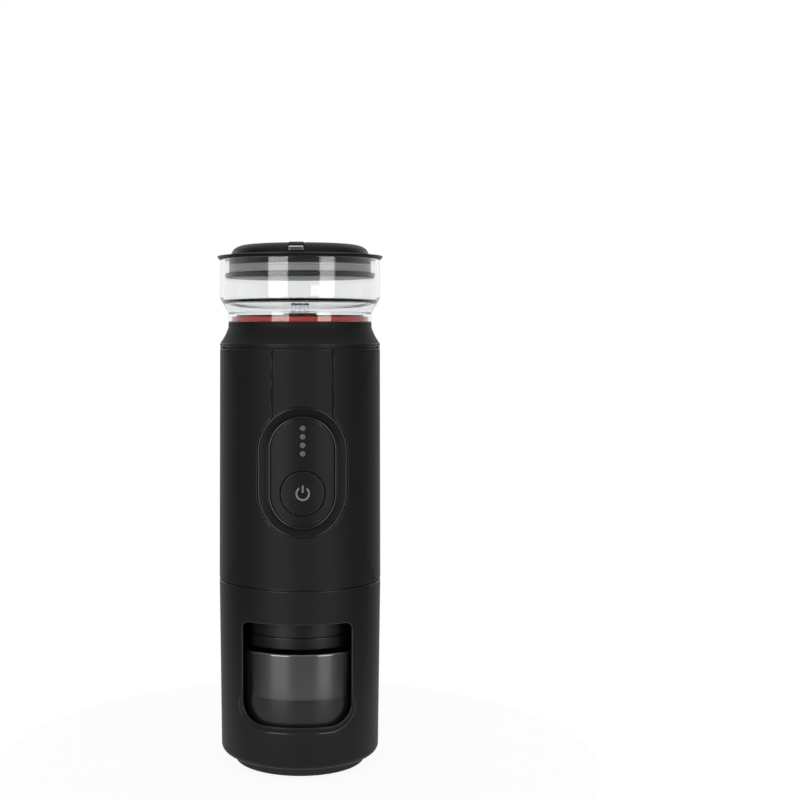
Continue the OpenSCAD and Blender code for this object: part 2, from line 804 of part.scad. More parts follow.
module pump_body() {
    color("#c2a15a") difference() {
        translate([0, 0, z_deck]) linear_extrude(z_cover - z_deck) pump_outline();
        for (y = [pump_y, idler_y]) translate([0, y, 0]) disc(chamber_r, z_chamber, z_cover + 1);
        translate([0, pump_y, 0]) disc(shaft_r + run_gap, z_chamber - pin_seat - 0.2, z_cover);
        translate([0, idler_y, 0]) disc(shaft_r, z_chamber - pin_seat, z_cover);
        translate([outlet_x, port_y, 0]) disc(port_r, z_deck - 1, z_cover - 1);
        translate([2, port_y, z_port]) rotate([0, 90, 0]) cylinder(r=port_r, h=pump_w);
        pump_screw_places() disc(screw_r, z_chamber, z_cover + 1);
    }
}

module pump_cover() {
    color("#b8964f") difference() {
        translate([0, 0, z_cover]) linear_extrude(cover_t) pump_outline();
        translate([0, pump_y, 0]) disc(shaft_r + run_gap, z_cover - 1, z_motor + 1);
        translate([0, idler_y, 0]) disc(shaft_r, z_cover - 1, z_cover + pin_top);
        pump_screw_places() {
            disc(screw_r + seat_gap, z_cover - 1, z_motor + 1);
            disc(head_r + seat_gap, z_motor - head_t - seat_gap, z_motor + 1);
        }
    }
}

module pump_screws() {
    color("#b9bcc0") pump_screw_places() translate([0, 0, z_motor - head_t - seat_gap])
        rotate([180, 0, 0]) screw(pump_screw_l);
}

// Hose from the heater's underside down to a bend into the side of the pump
module suction_hose() {
    z_bend = z_port + bend_r;
    x_bend = hose_x - bend_r;
    color("#d9d6cc") translate([0, port_y, 0]) {
        translate([hose_x, 0, 0]) hose_run(z_heater - z_bend, z_bend);
        translate([x_bend, 0, z_bend]) rotate([90, 0, 0]) rotate([0, 0, -90]) rotate_extrude(angle=90)
            translate([bend_r, 0]) hose_section();
        translate([0, 0, z_port]) rotate([0, 90, 0]) hose_run(x_bend - pump_w/2, pump_w/2);
    }
}

module hose_section() {
    difference() {
        circle(hose_r);
        circle(hose_bore/2);
    }
}

// Straight run of hose that starts at a distance along Z
module hose_run(length, start) {
    translate([0, 0, start]) linear_extrude(length) hose_section();
}

module heater_block() {
    color("#b4b6b8") difference() {
        union() {
            disc(heater_r, z_heater, z_heater_top - heater_wall);
            disc(heater_r - heater_side/2, z_heater_top - heater_wall - eps, z_heater_top);
        }
        disc(heater_r - heater_side, z_heater + heater_wall, z_heater_top - heater_wall);
        disc(port_r, z_heater + heater_wall + eps, z_heater_top + 1);
        translate([hose_x, port_y, 0]) disc(port_r, z_heater - 1, z_heater + heater_wall + eps);
    }
}

module thermostat() {
    r = 5.5;
    color("#d6d3cb") translate([0, r + 4 - heater_r, 0]) {
        disc(r, z_heater_top, z_heater_top + 3);
        disc(r - 1.5, z_heater_top + 3 - eps, z_heater_top + 4.5);
    }
}

module inlet_tube() {
    color("#d9d6cc") difference() {
        disc(hose_r + 3*nipple_wall, z_heater_top, z_deck3);
        disc(hose_bore/2, z_heater_top - 1, z_deck3 + 1);
        disc(hose_r + nipple_wall + seat_gap, z_deck3 - nipple_h - seat_gap, z_deck3 + 1);
    }
}

module charge_board() {
    color("#1f5c36")
        block([-charge_w/2, usb_back - charge_l, z_charge],
              [charge_w/2, usb_back - 1.4, z_charge + charge_t]);
}

module usb_socket() {
    wall = 0.35;
    color("#b9bcc0") translate([0, usb_back - usb_l, z_usb]) rotate([-90, 0, 0]) difference() {
        linear_extrude(usb_l) rotate(90) stadium(usb_h, usb_w);
        translate([0, 0, 1]) linear_extrude(usb_l) difference() {
            rotate(90) stadium(usb_h - 2*wall, usb_w - 2*wall);
            square([usb_w - 2.4, 0.7], center=true);
        }
    }
}

// Rubber flap that follows the body's surface, with a tongue for the port and a hinge roll
module port_cover() {
    z0 = z_hinge + 0.5;
    z1 = z_usb + port_h/2 - slide_gap;
    half_w = port_w/2 - slide_gap;
    tongue_h = usb_h - 0.9;
    color("#1f1f20") {
        intersection() {
            block([-half_w, port_floor + slide_gap, z0], [half_w, far, z1]);
            body_skin(body_r0 - inner_r, 0.1);
        }
        translate([0, 0, z_usb]) rotate([-90, 0, 0]) translate([0, 0, inner_r - 0.4])
            linear_extrude(port_floor + 1 - inner_r + 0.4) square([usb_w - 1, tongue_h], center=true);
        translate([-half_w, hinge_y, z_hinge]) rotate([0, 90, 0]) cylinder(r=knuckle_r, h=2*half_w);
        block([-half_w, hinge_y - knuckle_r, z_hinge], [half_w, hinge_y, z0 + 0.4]);
    }
}

module collar_screws() {
    color("#b9bcc0") around(collar_screw_angles, collar_screw_ring)
        translate([0, 0, z_deck2]) screw(deck_t + collar_screw_grip);
}

module base_screws() {
    color("#b9bcc0") around([45:90:315], base_screw_ring) translate([0, 0, z_ceiling + head_t + seat_gap])
        screw(z_deck - 0.8 - z_ceiling - head_t);
}

// Brew head: spigot with the bayonet track, flange in the seam, and the disc that the chassis stands on
module brew_head() {
    head_bore = holder_r + slide_gap;
    entry_r = track_r - 0.2;
    z_low = z_rim - spigot_h;
    color("#1e1e1f") difference() {
        rotate_extrude() difference() {
            polygon([[0, z_low], [spigot_r, z_low], [spigot_r, z_rim], [seam_r, z_rim], [seam_r, z_body],
                     [deck_r, z_body], [deck_r, z_head_top], [0, z_head_top]]);
            translate([-1, z_low - 1]) square([head_bore + 1, z_ceiling - z_low + 1]);
            translate([0, z_track]) square([track_r, track_h]);
            translate([ring_seat_r, z_ring - ring_r - seat_gap]) square([2*ring_r, 2*(ring_r + seat_gap)]);
        }
        // entries of the bayonet
        for (a = [0, 120, 240]) rotate([0, 0, a + holder_twist - lug_angle/2 - 2])
            translate([0, 0, z_low - 1]) rotate_extrude(angle=lug_angle + 4)
                translate([head_bore - 1, 0]) square([entry_r - head_bore + 1, z_track - z_low + 1.5]);
        around([45:90:315], base_screw_ring) {
            disc(screw_r + seat_gap, z_ceiling - 1, z_head_top + 1);
            disc(head_r + seat_gap, z_ceiling - 1, z_ceiling + head_t + seat_gap);
        }
        translate([outlet_x, port_y, 0]) disc(port_r, z_ceiling - 1, z_head_top + 1);
    }
}

module sleeve_seal() {
    color("#8c8c8c") rotate_extrude() translate([spigot_r + slide_gap/2 - ring_r, z_ring]) circle(ring_r);
}

module brew_seal() {
    color("#b9b4aa") tube(holder_r - 0.2, screen_r + 0.1, z_holder_top, z_ceiling);
}

module shower_screen() {
    rings = [[1, 0], [6, 5], [12, 10], [18, 15]];
    color("#c4c6c8") difference() {
        disc(screen_r, z_ceiling - screen_t, z_ceiling);
        for (ring = rings, k = [0:ring[0] - 1]) rotate([0, 0, k*360/ring[0]]) translate([ring[1], 0, 0])
            disc(0.8, z_ceiling - screen_t - 1, z_ceiling + 1);
    }
}

module capsule_holder() {
    groove_r = holder_r - 4*holder_ring_w/3;
    color("#19191a") difference() {
        union() {
            disc(holder_r, z_holder, z_holder_top);
            for (a = [0, 120, 240]) rotate([0, 0, a - lug_angle/2])
                translate([0, 0, z_track + slide_gap]) rotate_extrude(angle=lug_angle)
                    translate([holder_r - 1, 0]) square([lug_out + 1, lug_h]);
        }
        disc(holder_in_r, z_holder + holder_base, z_holder_top + 1);
        disc(spout_r, z_holder - 1, z_holder + holder_base + 1);
        tube(holder_r + 1, holder_r - 0.6, z_holder + holder_line, z_holder + holder_line + 0.8);
        tube(groove_r, groove_r - holder_ring_w, z_holder - 1, z_holder + holder_base/3);
    }
}

module coffee_basket() {
    z0 = z_holder + holder_base;
    color("#c4c6c8") difference() {
        disc(basket_r, z0, z_holder_top - 0.4);
        disc(basket_r - basket_wall, z0 + basket_wall, z_holder_top + 1);
        disc(basket_hole_r, z0 - 1, z0 + basket_wall + 1);
        for (i = [1:4]) around([for (k = [1:6*i]) k*60/i], i*basket_hole_pitch)
            disc(basket_hole_r, z0 - 1, z0 + basket_wall + 1);
    }
}

// Clear tank: skirt, flare, wall and floor with the outlet pipe
module water_tank() {
    color([0.85, 0.88, 0.9, 0.35]) {
        difference() {
            rotate_extrude()
                polygon([[0, z_neck], [neck_r, z_neck], [neck_r, z_skirt], [tank_r, z_wall],
                         [tank_r, z_tank_rim], [0, z_tank_rim]]);
            disc(skirt_in_r, z_neck - 1, z_tank_under);
            disc(tank_in_r, z_tank_floor, z_tank_rim + 1);
            disc(tank_pipe_bore, z_tank_under - 1, z_tank_floor + 1);
        }
        tube(tank_pipe_r, tank_pipe_bore, z_neck - 0.6, z_tank_under + eps);
    }
}

module tank_o_ring() {
    color("#2b2b2b") tube(socket_r - seat_gap, tank_pipe_r, z_neck + 1, z_neck + 2.4);
}

module inlet_filter() {
    rings = [[1, 0], [6, 2.6], [12, 5.2]];
    r = 8;
    color("#c4c6c8") difference() {
        disc(r, z_tank_floor, z_tank_floor + 0.8);
        for (ring = rings, k = [0:ring[0] - 1]) rotate([0, 0, k*360/ring[0]]) translate([ring[1], 0, 0])
            disc(0.6, z_tank_floor - 1, z_tank_floor + 2);
    }
}

// Lid: flange with a sharp rim, rounded dome, hollow underside and the flap's seat
module lid_cap() {
    shell = 2.2;
    dome = [for (a = [0:10:90]) [dome_r - dome_round*(1 - cos(a)), z_flange + dome_h*sin(a)]];
    color("#222223") rotate([0, 0, lid_turn]) difference() {
        rotate_extrude() difference() {
            polygon(concat([[0, z_tank_rim], [flange_r - 1, z_tank_rim], [flange_r, z_flange - 0.6]],
                           dome, [[0, z_top]]));
            translate([0, z_tank_rim - eps])
                square([dome_r - dome_round - 1, flange_h + dome_h - shell - flap_t]);
        }
        block([-flap_w/2 - slide_gap, -far, z_top - flap_t - slide_gap],
              [flap_w/2 + slide_gap, flap_hinge_y + flap_t/2 + slide_gap, z_top + 1]);
        translate([0, flap_y + flap_l/2, 0]) disc(1, z_tank_rim - 1, z_top + 1);
    }
}

module lid_plug() {
    color("#77787a") difference() {
        disc(plug_r, z_plug, z_tank_rim);
        tube(plug_r + 1, plug_r - plug_groove, z_plug_groove, z_plug_groove + plug_seal_h + 2*seat_gap);
        disc(plug_r - plug_groove - plug_wall, z_plug + 1.6, z_tank_rim + 1);
    }
}

module lid_seal() {
    z0 = z_plug_groove + seat_gap;
    color("#39393a") tube(lid_seal_r, plug_r - plug_groove + seat_gap, z0, z0 + plug_seal_h);
}

// Flap that lies in the lid and pivots on its rounded rear edge
module vent_flap() {
    r = flap_t/2;
    lip_back = -dome_r - slide_gap/2;
    lip_front = lip_back - flap_lip;
    z_lip = z_top - flap_drop;
    color("#3c3c3d") rotate([0, 0, lid_turn]) translate([-flap_w/2, 0, 0]) {
        rotate([90, 0, 90]) linear_extrude(flap_w)
            polygon([[flap_hinge_y, z_top - flap_t], [lip_back + slide_gap, z_top - flap_t],
                     [lip_back, z_lip], [lip_front, z_lip],
                     [lip_front + flap_lip/3, z_top - 0.57*flap_drop],
                     [lip_front + 2*flap_lip, z_top - 0.15*flap_drop],
                     [flap_y, z_top], [flap_hinge_y, z_top]]);
        translate([0, flap_hinge_y, z_top - r]) rotate([0, 90, 0]) cylinder(r=r, h=flap_w);
    }
}

cup_sleeve();
foot_pad();
cup();
body_shell();
top_collar();
tank_seal();
control_bezel();
control_panel();
indicator_lights();
brew_button();
button_symbol();
switch_plunger();
tact_switch();
control_board();
board_screws();
chassis();
battery_cells();
cell_strips();
battery_bracket();
pump_motor();
motor_shaft();
drive_gear();
idler_gear();
idler_pin();
pump_body();
pump_cover();
pump_screws();
suction_hose();
heater_block();
thermostat();
inlet_tube();
charge_board();
usb_socket();
port_cover();
collar_screws();
base_screws();
brew_head();
sleeve_seal();
brew_seal();
shower_screen();
capsule_holder();
coffee_basket();
water_tank();
tank_o_ring();
inlet_filter();
lid_cap();
lid_plug();
lid_seal();
vent_flap();
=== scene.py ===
"""Dresses the CAD model of a portable espresso maker: moulded pieces, finishes, light and camera."""
import json
import math

import bmesh
import bpy
from mathutils import Matrix, Vector


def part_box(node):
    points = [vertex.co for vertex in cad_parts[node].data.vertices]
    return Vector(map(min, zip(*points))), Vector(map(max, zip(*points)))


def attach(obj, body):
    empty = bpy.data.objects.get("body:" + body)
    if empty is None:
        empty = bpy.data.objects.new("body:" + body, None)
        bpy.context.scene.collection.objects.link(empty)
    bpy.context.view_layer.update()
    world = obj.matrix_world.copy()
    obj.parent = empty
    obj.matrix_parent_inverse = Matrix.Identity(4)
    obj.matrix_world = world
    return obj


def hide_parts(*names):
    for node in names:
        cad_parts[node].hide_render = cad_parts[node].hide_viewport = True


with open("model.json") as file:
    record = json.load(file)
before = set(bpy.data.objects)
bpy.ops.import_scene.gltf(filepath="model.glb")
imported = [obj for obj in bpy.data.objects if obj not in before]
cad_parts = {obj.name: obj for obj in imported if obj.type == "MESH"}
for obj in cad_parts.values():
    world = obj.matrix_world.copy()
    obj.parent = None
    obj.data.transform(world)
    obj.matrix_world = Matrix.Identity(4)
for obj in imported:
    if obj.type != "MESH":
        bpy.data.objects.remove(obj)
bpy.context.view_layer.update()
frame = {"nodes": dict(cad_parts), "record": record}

bl_info = {
    "name": "Portable espresso maker",
    "version": (1, 0, 0),
    "blender": (4, 5, 0),
    "location": "View3D > Sidebar > Espresso",
    "description": "Moulded pieces, finishes and studio for the espresso maker's CAD model",
    "category": "Object",
}

MM = 0.001
WELD = 0.0005
NEAR = 0.02
SPIN_STEPS = 160
BACK_STEPS = 110
ROUND_STEPS = 6
BEND_STEPS = 14
DOME_STEPS = 12
SWEEP_STEPS = 10
INNER_RINGS = 4
OUTER_RINGS = 8
STRAIGHT_STEP = 2.5
THROUGH = 9
OUTER_SKIN = 0.6
SIDE_ANGLE = math.radians(64)
SHARP_ANGLE = math.radians(38)
FINISH = "_finish"
WEAR = "wear"
WEAR_BEND = math.radians(2)
WEAR_WIDTH = 0.6

CAMERA_SPOT = (-0.020, -0.620, 0.197)
CAMERA_AIM = (0, 0, 0.1633)
CAMERA_LENS = 61.83
FRAME_SHIFT = 0.125
SOFT_BOXES = (("left_box", -33, 0.50), ("right_box", 37, 0.39))
BOX_HEIGHT = 0.9
BOX_LEVEL = 4.0
BOX_AIM = (0, 0, 0.1)
FLOOR_R = 0.135
FLOOR_WHITE = 0.93

BODIES = frame["record"]["behaviour"]["bodies"]
BODY_OF = {node: body for body, nodes in BODIES.items() for node in nodes}
SLOT_OF = {part["node"]: part["material_slot"] for part in frame["record"]["subparts"]}


def low(node):
    """Lowest corner of a CAD node in millimetres."""
    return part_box(node)[0] / MM


def high(node):
    """Highest corner of a CAD node in millimetres."""
    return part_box(node)[1] / MM


def middle_z(node):
    """Middle height of a CAD node in millimetres."""
    return (low(node).z + high(node).z) / 2


SLEEVE_Z = low("cup_sleeve").z
RIM_Z = high("cup_sleeve").z
BODY_Z = low("body_shell").z
SHOULDER_Z = high("body_shell").z
NECK_Z = low("tank_seal").z
TANK_Z = high("water_tank").z
LID_Z = high("lid_cap").z
CUP_Z = low("cup").z
CUP_TOP_Z = high("cup").z
# Height of the painted line on the cup: painted light above it, painted shade below it.
CUP_SHADE_LINE_Z = CUP_TOP_Z - 20.2
HOLDER_Z = low("capsule_holder").z
HOLDER_TOP_Z = high("capsule_holder").z
CONTROLS_Z = middle_z("control_bezel")
BUTTON_Z = middle_z("brew_button")
SEAM_R = high("body_shell").x
TANK_R = high("water_tank").x


def length(name, description, millimetres):
    """A size that shows in the sidebar with its unit."""
    return bpy.props.FloatProperty(
        name=name, description=description, default=millimetres * MM, unit="LENGTH", precision=5)


def turn(name, description, degrees):
    """An angle that shows in the sidebar in degrees."""
    return bpy.props.FloatProperty(
        name=name, description=description, default=math.radians(degrees), subtype="ANGLE")


def linear(level):
    """Linear value of a display level from 0 to 255."""
    part = level / 255
    return part / 12.92 if part <= 0.04045 else ((part + 0.055) / 1.055) ** 2.4


def tint(name, description, red, green, blue):
    """A colour given in display levels from 0 to 255."""
    return bpy.props.FloatVectorProperty(
        name=name, description=description, size=3, subtype="COLOR", min=0, max=1,
        default=(linear(red), linear(green), linear(blue)))


class EspressoSizes(bpy.types.PropertyGroup):
    """Sizes of the moulded pieces that the CAD boxes don't give."""
    edge: length("Moulded edge", "Round of the edges of shoulder and sleeve", 0.4)
    seam_edge: length("Seam edge", "Round of the body's lower edge", 0.12)
    bore: length("Body bore", "Radius inside the body tube", 33.4)
    groove_w: length("Groove width", "Width of the upright grooves in the body", 0.8)
    groove_d: length("Groove depth", "Depth of the upright grooves in the body", 0.7)
    groove_rise: length("Groove rise", "Height of the side grooves' lower end over the seam", 4.6)
    front_groove: turn("Front grooves", "Angle of the two front grooves from the front", 21)
    side_groove: turn("Side grooves", "Angle of the two side grooves from the front", 71)
    sleeve_bore: length("Sleeve bore", "Radius inside the sleeve", 34.0)
    sleeve_draft: length("Sleeve draft", "How much slimmer the sleeve is at its foot", 0.8)
    sleeve_round: length("Sleeve foot round", "Round of the sleeve's lower edge", 3.0)
    sleeve_floor: length("Sleeve floor", "Thickness of the sleeve's floor", 2.2)
    window_w: length("Window width", "Width of the sleeve's window", 47.5)
    window_low: length("Window sill", "Height of the window's sill", 23.0)
    window_high: length("Window head", "Height of the window's upper edge", 68.0)
    window_head_round: length("Window head round", "Round of the window's upper corners", 3.0)
    window_sill_round: length("Window sill round", "Round of the window's lower corners", 9.0)
    window_turn: turn("Window turn", "Turn of the sleeve under the body", -4.5)
    lip_w: length("Scoop width", "Width of the scooped lip below the window", 1.5)
    lip_d: length("Scoop depth", "Depth of the scooped lip below the window", 1.1)
    cup_base_r: length("Cup base", "Radius of the cup at its foot", 31.0)
    cup_wall: length("Cup wall", "Wall of the cup", 1.8)
    cup_well: length("Cup well", "Height of the cup's inner floor over its foot", 28.0)
    cup_floor: length("Cup floor", "Thickness of the cup's inner floor", 2.0)
    neck_r: length("Neck", "Radius of the collar's neck", 32.2)
    neck_h: length("Neck height", "Height of the neck's straight part", 2.3)
    brim_h: length("Brim", "Height of the straight brim over the shoulder groove", 1.3)
    shoulder_r: length("Shoulder sweep", "Radius of the hollow sweep from shoulder to neck", 23.0)
    tank_wall: length("Tank wall", "Wall of the clear tank", 2.0)
    tank_skirt: length("Tank skirt", "Height of the tank's straight skirt", 3.9)
    tank_flare: length("Tank flare", "Height over the neck at which the tank is full width", 10.4)
    tank_under: length("Tank under floor", "Height of the tank floor's underside over the neck", 9.4)
    tank_floor: length("Tank floor", "Thickness of the tank's floor", 0.7)
    dome_r: length("Lid dome", "Radius of the lid's dome", 30.9)
    dome_round: length("Lid round", "How far the dome's rounding reaches in", 7.0)
    lid_turn: turn("Lid turn", "Turn of the lid on the tank", -5)
    flap_w: length("Flap width", "Width of the vent flap", 6.2)
    plug_r: length("Plug", "Radius of the plug under the lid", 31.9)
    bezel_w: length("Bezel width", "Width of the control bezel", 39.2)
    bezel_h: length("Bezel height", "Height of the control bezel", 56.8)
    panel_w: length("Panel width", "Width of the control panel", 29.8)
    panel_h: length("Panel height", "Height of the control panel", 48.4)
    button_r: length("Button", "Radius of the brew button", 9.5)
    button_gap: length("Button gap", "Gap round the brew button", 0.3)


class EspressoColours(bpy.types.PropertyGroup):
    """Colours of the finishes."""
    body: tint("Body", "Satin black of body and collar", 24, 24, 25)
    sleeve: tint("Sleeve", "Satin black of the sleeve", 23, 23, 24)
    panel: tint("Panel", "Black of bezel, panel and button", 20, 20, 21)
    lid: tint("Lid", "Black of the lid", 21, 21, 22)
    plug: tint("Plug", "Grey of the plug under the lid", 106, 106, 107)
    tank: tint("Tank", "Clear plastic of the tank", 246, 247, 248)
    # The cup's tone is painted paler above its inner floor and darker below it for light and shade; see
    # smoky.
    cup: tint("Cup", "Smoky plastic of the cup", 92, 92, 94)
    red_seal: tint("Red seal", "Red silicone of the tank's seal", 140, 28, 12)
    rubber: tint("Rubber", "Black rubber of foot and seals", 24, 24, 25)
    silicone: tint("Silicone", "Pale silicone of hoses and brew seal", 205, 203, 196)
    lights: tint("Lights", "Grey light dots", 96, 97, 99)
    symbol: tint("Symbol", "Grey paint of the button's sign", 118, 119, 121)
    frame_part: tint("Inner frame", "Grey plastic of chassis and bracket", 74, 75, 77)
    steel: tint("Steel", "Steel of screws, motor and screens", 188, 189, 190)
    brass: tint("Brass", "Brass of the pump", 190, 158, 92)
    board: tint("Board", "Green of the circuit boards", 24, 74, 48)
    cells: tint("Cell wrap", "Blue wrap of the battery cells", 38, 76, 128)
    gears: tint("Gears", "Pale plastic of the pump's gears", 222, 219, 208)
    heater: tint("Heater", "Cast metal of the heater", 156, 157, 159)


class Settings:
    """The scene, its sizes read in millimetres and its angles as they are."""

    def __init__(self, scene):
        self.scene = scene

    def __getattr__(self, name):
        value = getattr(self.scene.espresso_sizes, name)
        return value if name.endswith(("_turn", "_groove")) else value / MM


class Term:
    """A shader value. Arithmetic on it adds Math nodes."""

    def __init__(self, finish, socket):
        self.finish = finish
        self.socket = socket

    def maths(self, operation, first, second):
        return self.finish.node("Math", {"operation": operation}, {0: first, 1: second})

    def __add__(self, other):
        return self.maths("ADD", self, other)

    def __sub__(self, other):
        return self.maths("SUBTRACT", self, other)

    def __rsub__(self, other):
        return self.maths("SUBTRACT", other, self)

    def __mul__(self, other):
        return self.maths("MULTIPLY", self, other)

    def __gt__(self, other):
        return self.maths("GREATER_THAN", self, other)

    def __lt__(self, other):
        return self.maths("LESS_THAN", self, other)

    def either(self, other):
        return self.maths("MAXIMUM", self, other)

    __radd__ = __add__
    __rmul__ = __mul__


class Finish:
    """A material or world tree that is built node by node."""

    def __init__(self, tree):
        self.tree = tree
        tree.nodes.clear()

    def node(self, kind, settings, sockets, output=0):
        """Adds a node: its settings first, then the values or links of its sockets."""
        made = self.tree.nodes.new("ShaderNode" + kind)
        for name, value in settings.items():
            if name == "stops":
                ramp = made.color_ramp.elements
                while len(ramp) < len(value):
                    ramp.new(1)
                for stop, (place, level) in zip(ramp, value):
                    stop.position = place
                    stop.color = (level, level, level, 1)
            else:
                setattr(made, name, value)
        for name, value in sockets.items():
            if isinstance(value, Term):
                self.tree.links.new(value.socket, made.inputs[name])
            else:
                made.inputs[name].default_value = value
        return Term(self, made.outputs[output]) if made.outputs else None

    def place(self, stretch=(1, 1, 1)):
        """Object coordinates, stretched where a pattern runs one way."""
        spot = self.node("TexCoord", {}, {}, "Object")
        return self.node("Mapping", {}, {"Vector": spot, "Scale": stretch})

    def noise(self, scale, detail=3, stretch=(1, 1, 1)):
        """Even noise from 0 to 1 at so many waves to the metre."""
        return self.node("TexNoise", {}, {
            "Vector": self.place(stretch), "Scale": scale, "Detail": detail}, "Fac")

    def shade(self, colour, amount, strength):
        """A colour made lighter and darker by a value round one half."""
        light = tuple(min(1, part * (1 + strength)) for part in colour)
        dark = tuple(part * (1 - strength) for part in colour)
        return self.mix(amount, (*dark, 1), (*light, 1))

    def mix(self, amount, first, second):
        """A colour between two others."""
        return self.node("Mix", {"data_type": "RGBA"}, {0: amount, 6: first, 7: second}, 2)

    def ramp(self, value, *stops):
        """A value led through stops of a place and a level."""
        return self.node("RGBToBW", {}, {"Color": self.node("ValToRGB", {"stops": stops}, {"Fac": value})})

    def wear(self):
        """One on the faces that are marked as worn, else nought."""
        return self.node("Attribute", {"attribute_name": WEAR}, {}, "Fac")

    def ray(self, kind):
        """What the light path says of a ray."""
        return self.node("LightPath", {}, {}, kind)

    def bump(self, height, depth):
        """Normals of a relief so many millimetres deep."""
        return self.node("Bump", {}, {"Height": height, "Strength": 0.6, "Distance": depth * MM})

    def surface(self, sockets):
        """Principled shader with the given sockets."""
        return self.node("BsdfPrincipled", {}, sockets)

    def out(self, shader, kind="OutputMaterial"):
        """Ends the tree with a shader."""
        self.node(kind, {}, {"Surface": shader})

    def out_clear(self, shader, colour):
        """Ends the tree with a see-through shader, whose shadow is only tinted."""
        pane = self.node("BsdfTransparent", {}, {"Color": (*colour, 1)})
        self.out(self.node("MixShader", {}, {0: self.ray("Is Shadow Ray"), 1: shader, 2: pane}))


def finish_for(name):
    """An empty material and its tree."""
    material = bpy.data.materials.new(name + FINISH)
    material.use_nodes = True
    return material, Finish(material.node_tree)


def moulded(f, colour, roughness, grain=0.25, depth=0.012, gloss=0.16, polish=0.5):
    """Moulded plastic: fine spark-eroded grain, slow clouding, rare pale scuffs, polished edges."""
    cloud = f.noise(38, 2)
    scuff = f.noise(260, 4, (1, 1, 0.25))
    speck = f.noise(1 / (grain * MM), 2)
    worn = (scuff > 0.71) * 0.35
    f.out(f.surface({
        "Base Color": f.shade(colour, cloud * 0.6 + speck * 0.4 + worn, 0.22),
        "Roughness": roughness - 0.05 + cloud * 0.06 + speck * 0.04 + worn * 0.12,
        "Specular IOR Level": gloss,
        "Coat Weight": f.wear() * polish,
        "Coat Roughness": 0.16,
        "Normal": f.bump(speck, depth),
    }))


def plated(f, colour, bright):
    """Black plastic with a bright plated lip, both with fine lines and a few stains."""
    line = f.noise(900, 2, (0.1, 1, 1))
    stain = f.noise(200, 3)
    lip = f.wear()
    f.out(f.surface({
        "Base Color": f.mix(lip, f.shade(colour, stain, 0.2), f.shade(bright, line, 0.1)),
        "Metallic": lip,
        "Roughness": 0.42 - lip * 0.3 + stain * 0.06,
        "Specular IOR Level": 0.2,
        "Normal": f.bump(line, 0.002),
    }))


def see_through(f, colour, roughness, waviness):
    """Clear plastic with faint moulding waves and hairline scratches; its shadow stays light."""
    wave = f.noise(45, 1)
    scratch = f.noise(1500, 2, (1, 1, 0.05)) > 0.69
    glass = f.surface({
        "Base Color": f.shade(colour, wave, 0.02),
        "Roughness": scratch * 0.05 + roughness,
        "Transmission Weight": 1,
        "IOR": 1.49,
        "Normal": f.bump(wave, waviness),
    })
    f.out_clear(glass, [part * 0.9 for part in colour])


def smoky(f, colour, floor_z):
    """Hazy smoked plastic, scratched: painted light makes it paler above the cup's inner floor and painted
    shade darker below it; darker towards its sides.
    """
    cloud = f.noise(45, 2)
    scratch = f.noise(1500, 2, (1, 1, 0.05)) > 0.69
    height = f.node("SeparateXYZ", {}, {"Vector": f.place()}, "Z")
    fade = f.ramp(f.node("LayerWeight", {}, {"Blend": 0.5}, "Facing"), (0.12, 1.0), (0.3, 0.0))
    # Painted light and shade: full colour above the inner floor for light through the empty cup, painted
    # shade below it.
    inside = (height > floor_z * MM) * 0.8 + 0.2 - cloud * 0.1
    dark = [part * 0.1 for part in colour]
    body = f.surface({
        "Base Color": f.mix(inside * fade, (*dark, 1), (*colour, 1)),
        "Roughness": 0.24 + scratch * 0.02,
        "Specular IOR Level": 0.25,
        "Transmission Weight": 0.5,
        "IOR": 1.45,
        "Coat Weight": f.wear(),
        "Coat Roughness": 0.1,
        "Coat IOR": 2.2,
        "Normal": f.bump(cloud, 0.005),
    })
    f.out_clear(body, colour)


def rubbery(f, colour, roughness, bleed=0.0):
    """Silicone or rubber: soft bloom, dust in the pores."""
    bloom = f.noise(90, 3)
    pore = f.noise(2600, 2)
    f.out(f.surface({
        "Base Color": f.shade(colour, bloom * 0.7 + pore * 0.3, 0.2),
        "Roughness": roughness + bloom * 0.12,
        "Specular IOR Level": 0.35,
        "Subsurface Weight": bleed,
        "Subsurface Radius": (0.002, 0.0008, 0.0005),
        "Normal": f.bump(pore, 0.01),
    }))


def metal(f, colour, roughness, grain, stretch):
    """Turned, rolled or cast metal: grain along one way, stains, small pits."""
    line = f.noise(grain, 3, stretch)
    stain = f.noise(120, 3)
    f.out(f.surface({
        "Base Color": f.shade(colour, stain * 0.5 + line * 0.5, 0.16),
        "Metallic": 1,
        "Roughness": roughness - 0.06 + line * 0.12 + stain * 0.06,
        "Normal": f.bump(line, 0.008),
    }))


def laminate(f, colour, copper):
    """Circuit board: lacquer over weave, tracks as slightly lighter lanes."""
    lane = f.node("TexBrick", {"offset": 0.5}, {
        "Vector": f.place((1, 0.4, 1)), "Scale": 260, "Mortar Size": 0.12,
        "Color1": (0, 0, 0, 1), "Color2": (0, 0, 0, 1), "Mortar": (1, 1, 1, 1)}, "Fac")
    weave = f.noise(2200, 2)
    f.out(f.surface({
        "Base Color": f.mix(lane * 0.55, f.shade(colour, weave, 0.25), (*copper, 1)),
        "Roughness": 0.38 + weave * 0.14,
        "Coat Weight": 0.25,
        "Normal": f.bump(lane, 0.03),
    }))


def wrapped(f, colour):
    """Shrink wrap on a battery cell: faint draw lines and a soft sheen."""
    draw = f.noise(420, 2, (1, 1, 0.06))
    cloud = f.noise(70, 2)
    f.out(f.surface({
        "Base Color": f.shade(colour, draw * 0.5 + cloud * 0.5, 0.2),
        "Roughness": 0.3 + draw * 0.15,
        "Normal": f.bump(draw, 0.02),
    }))


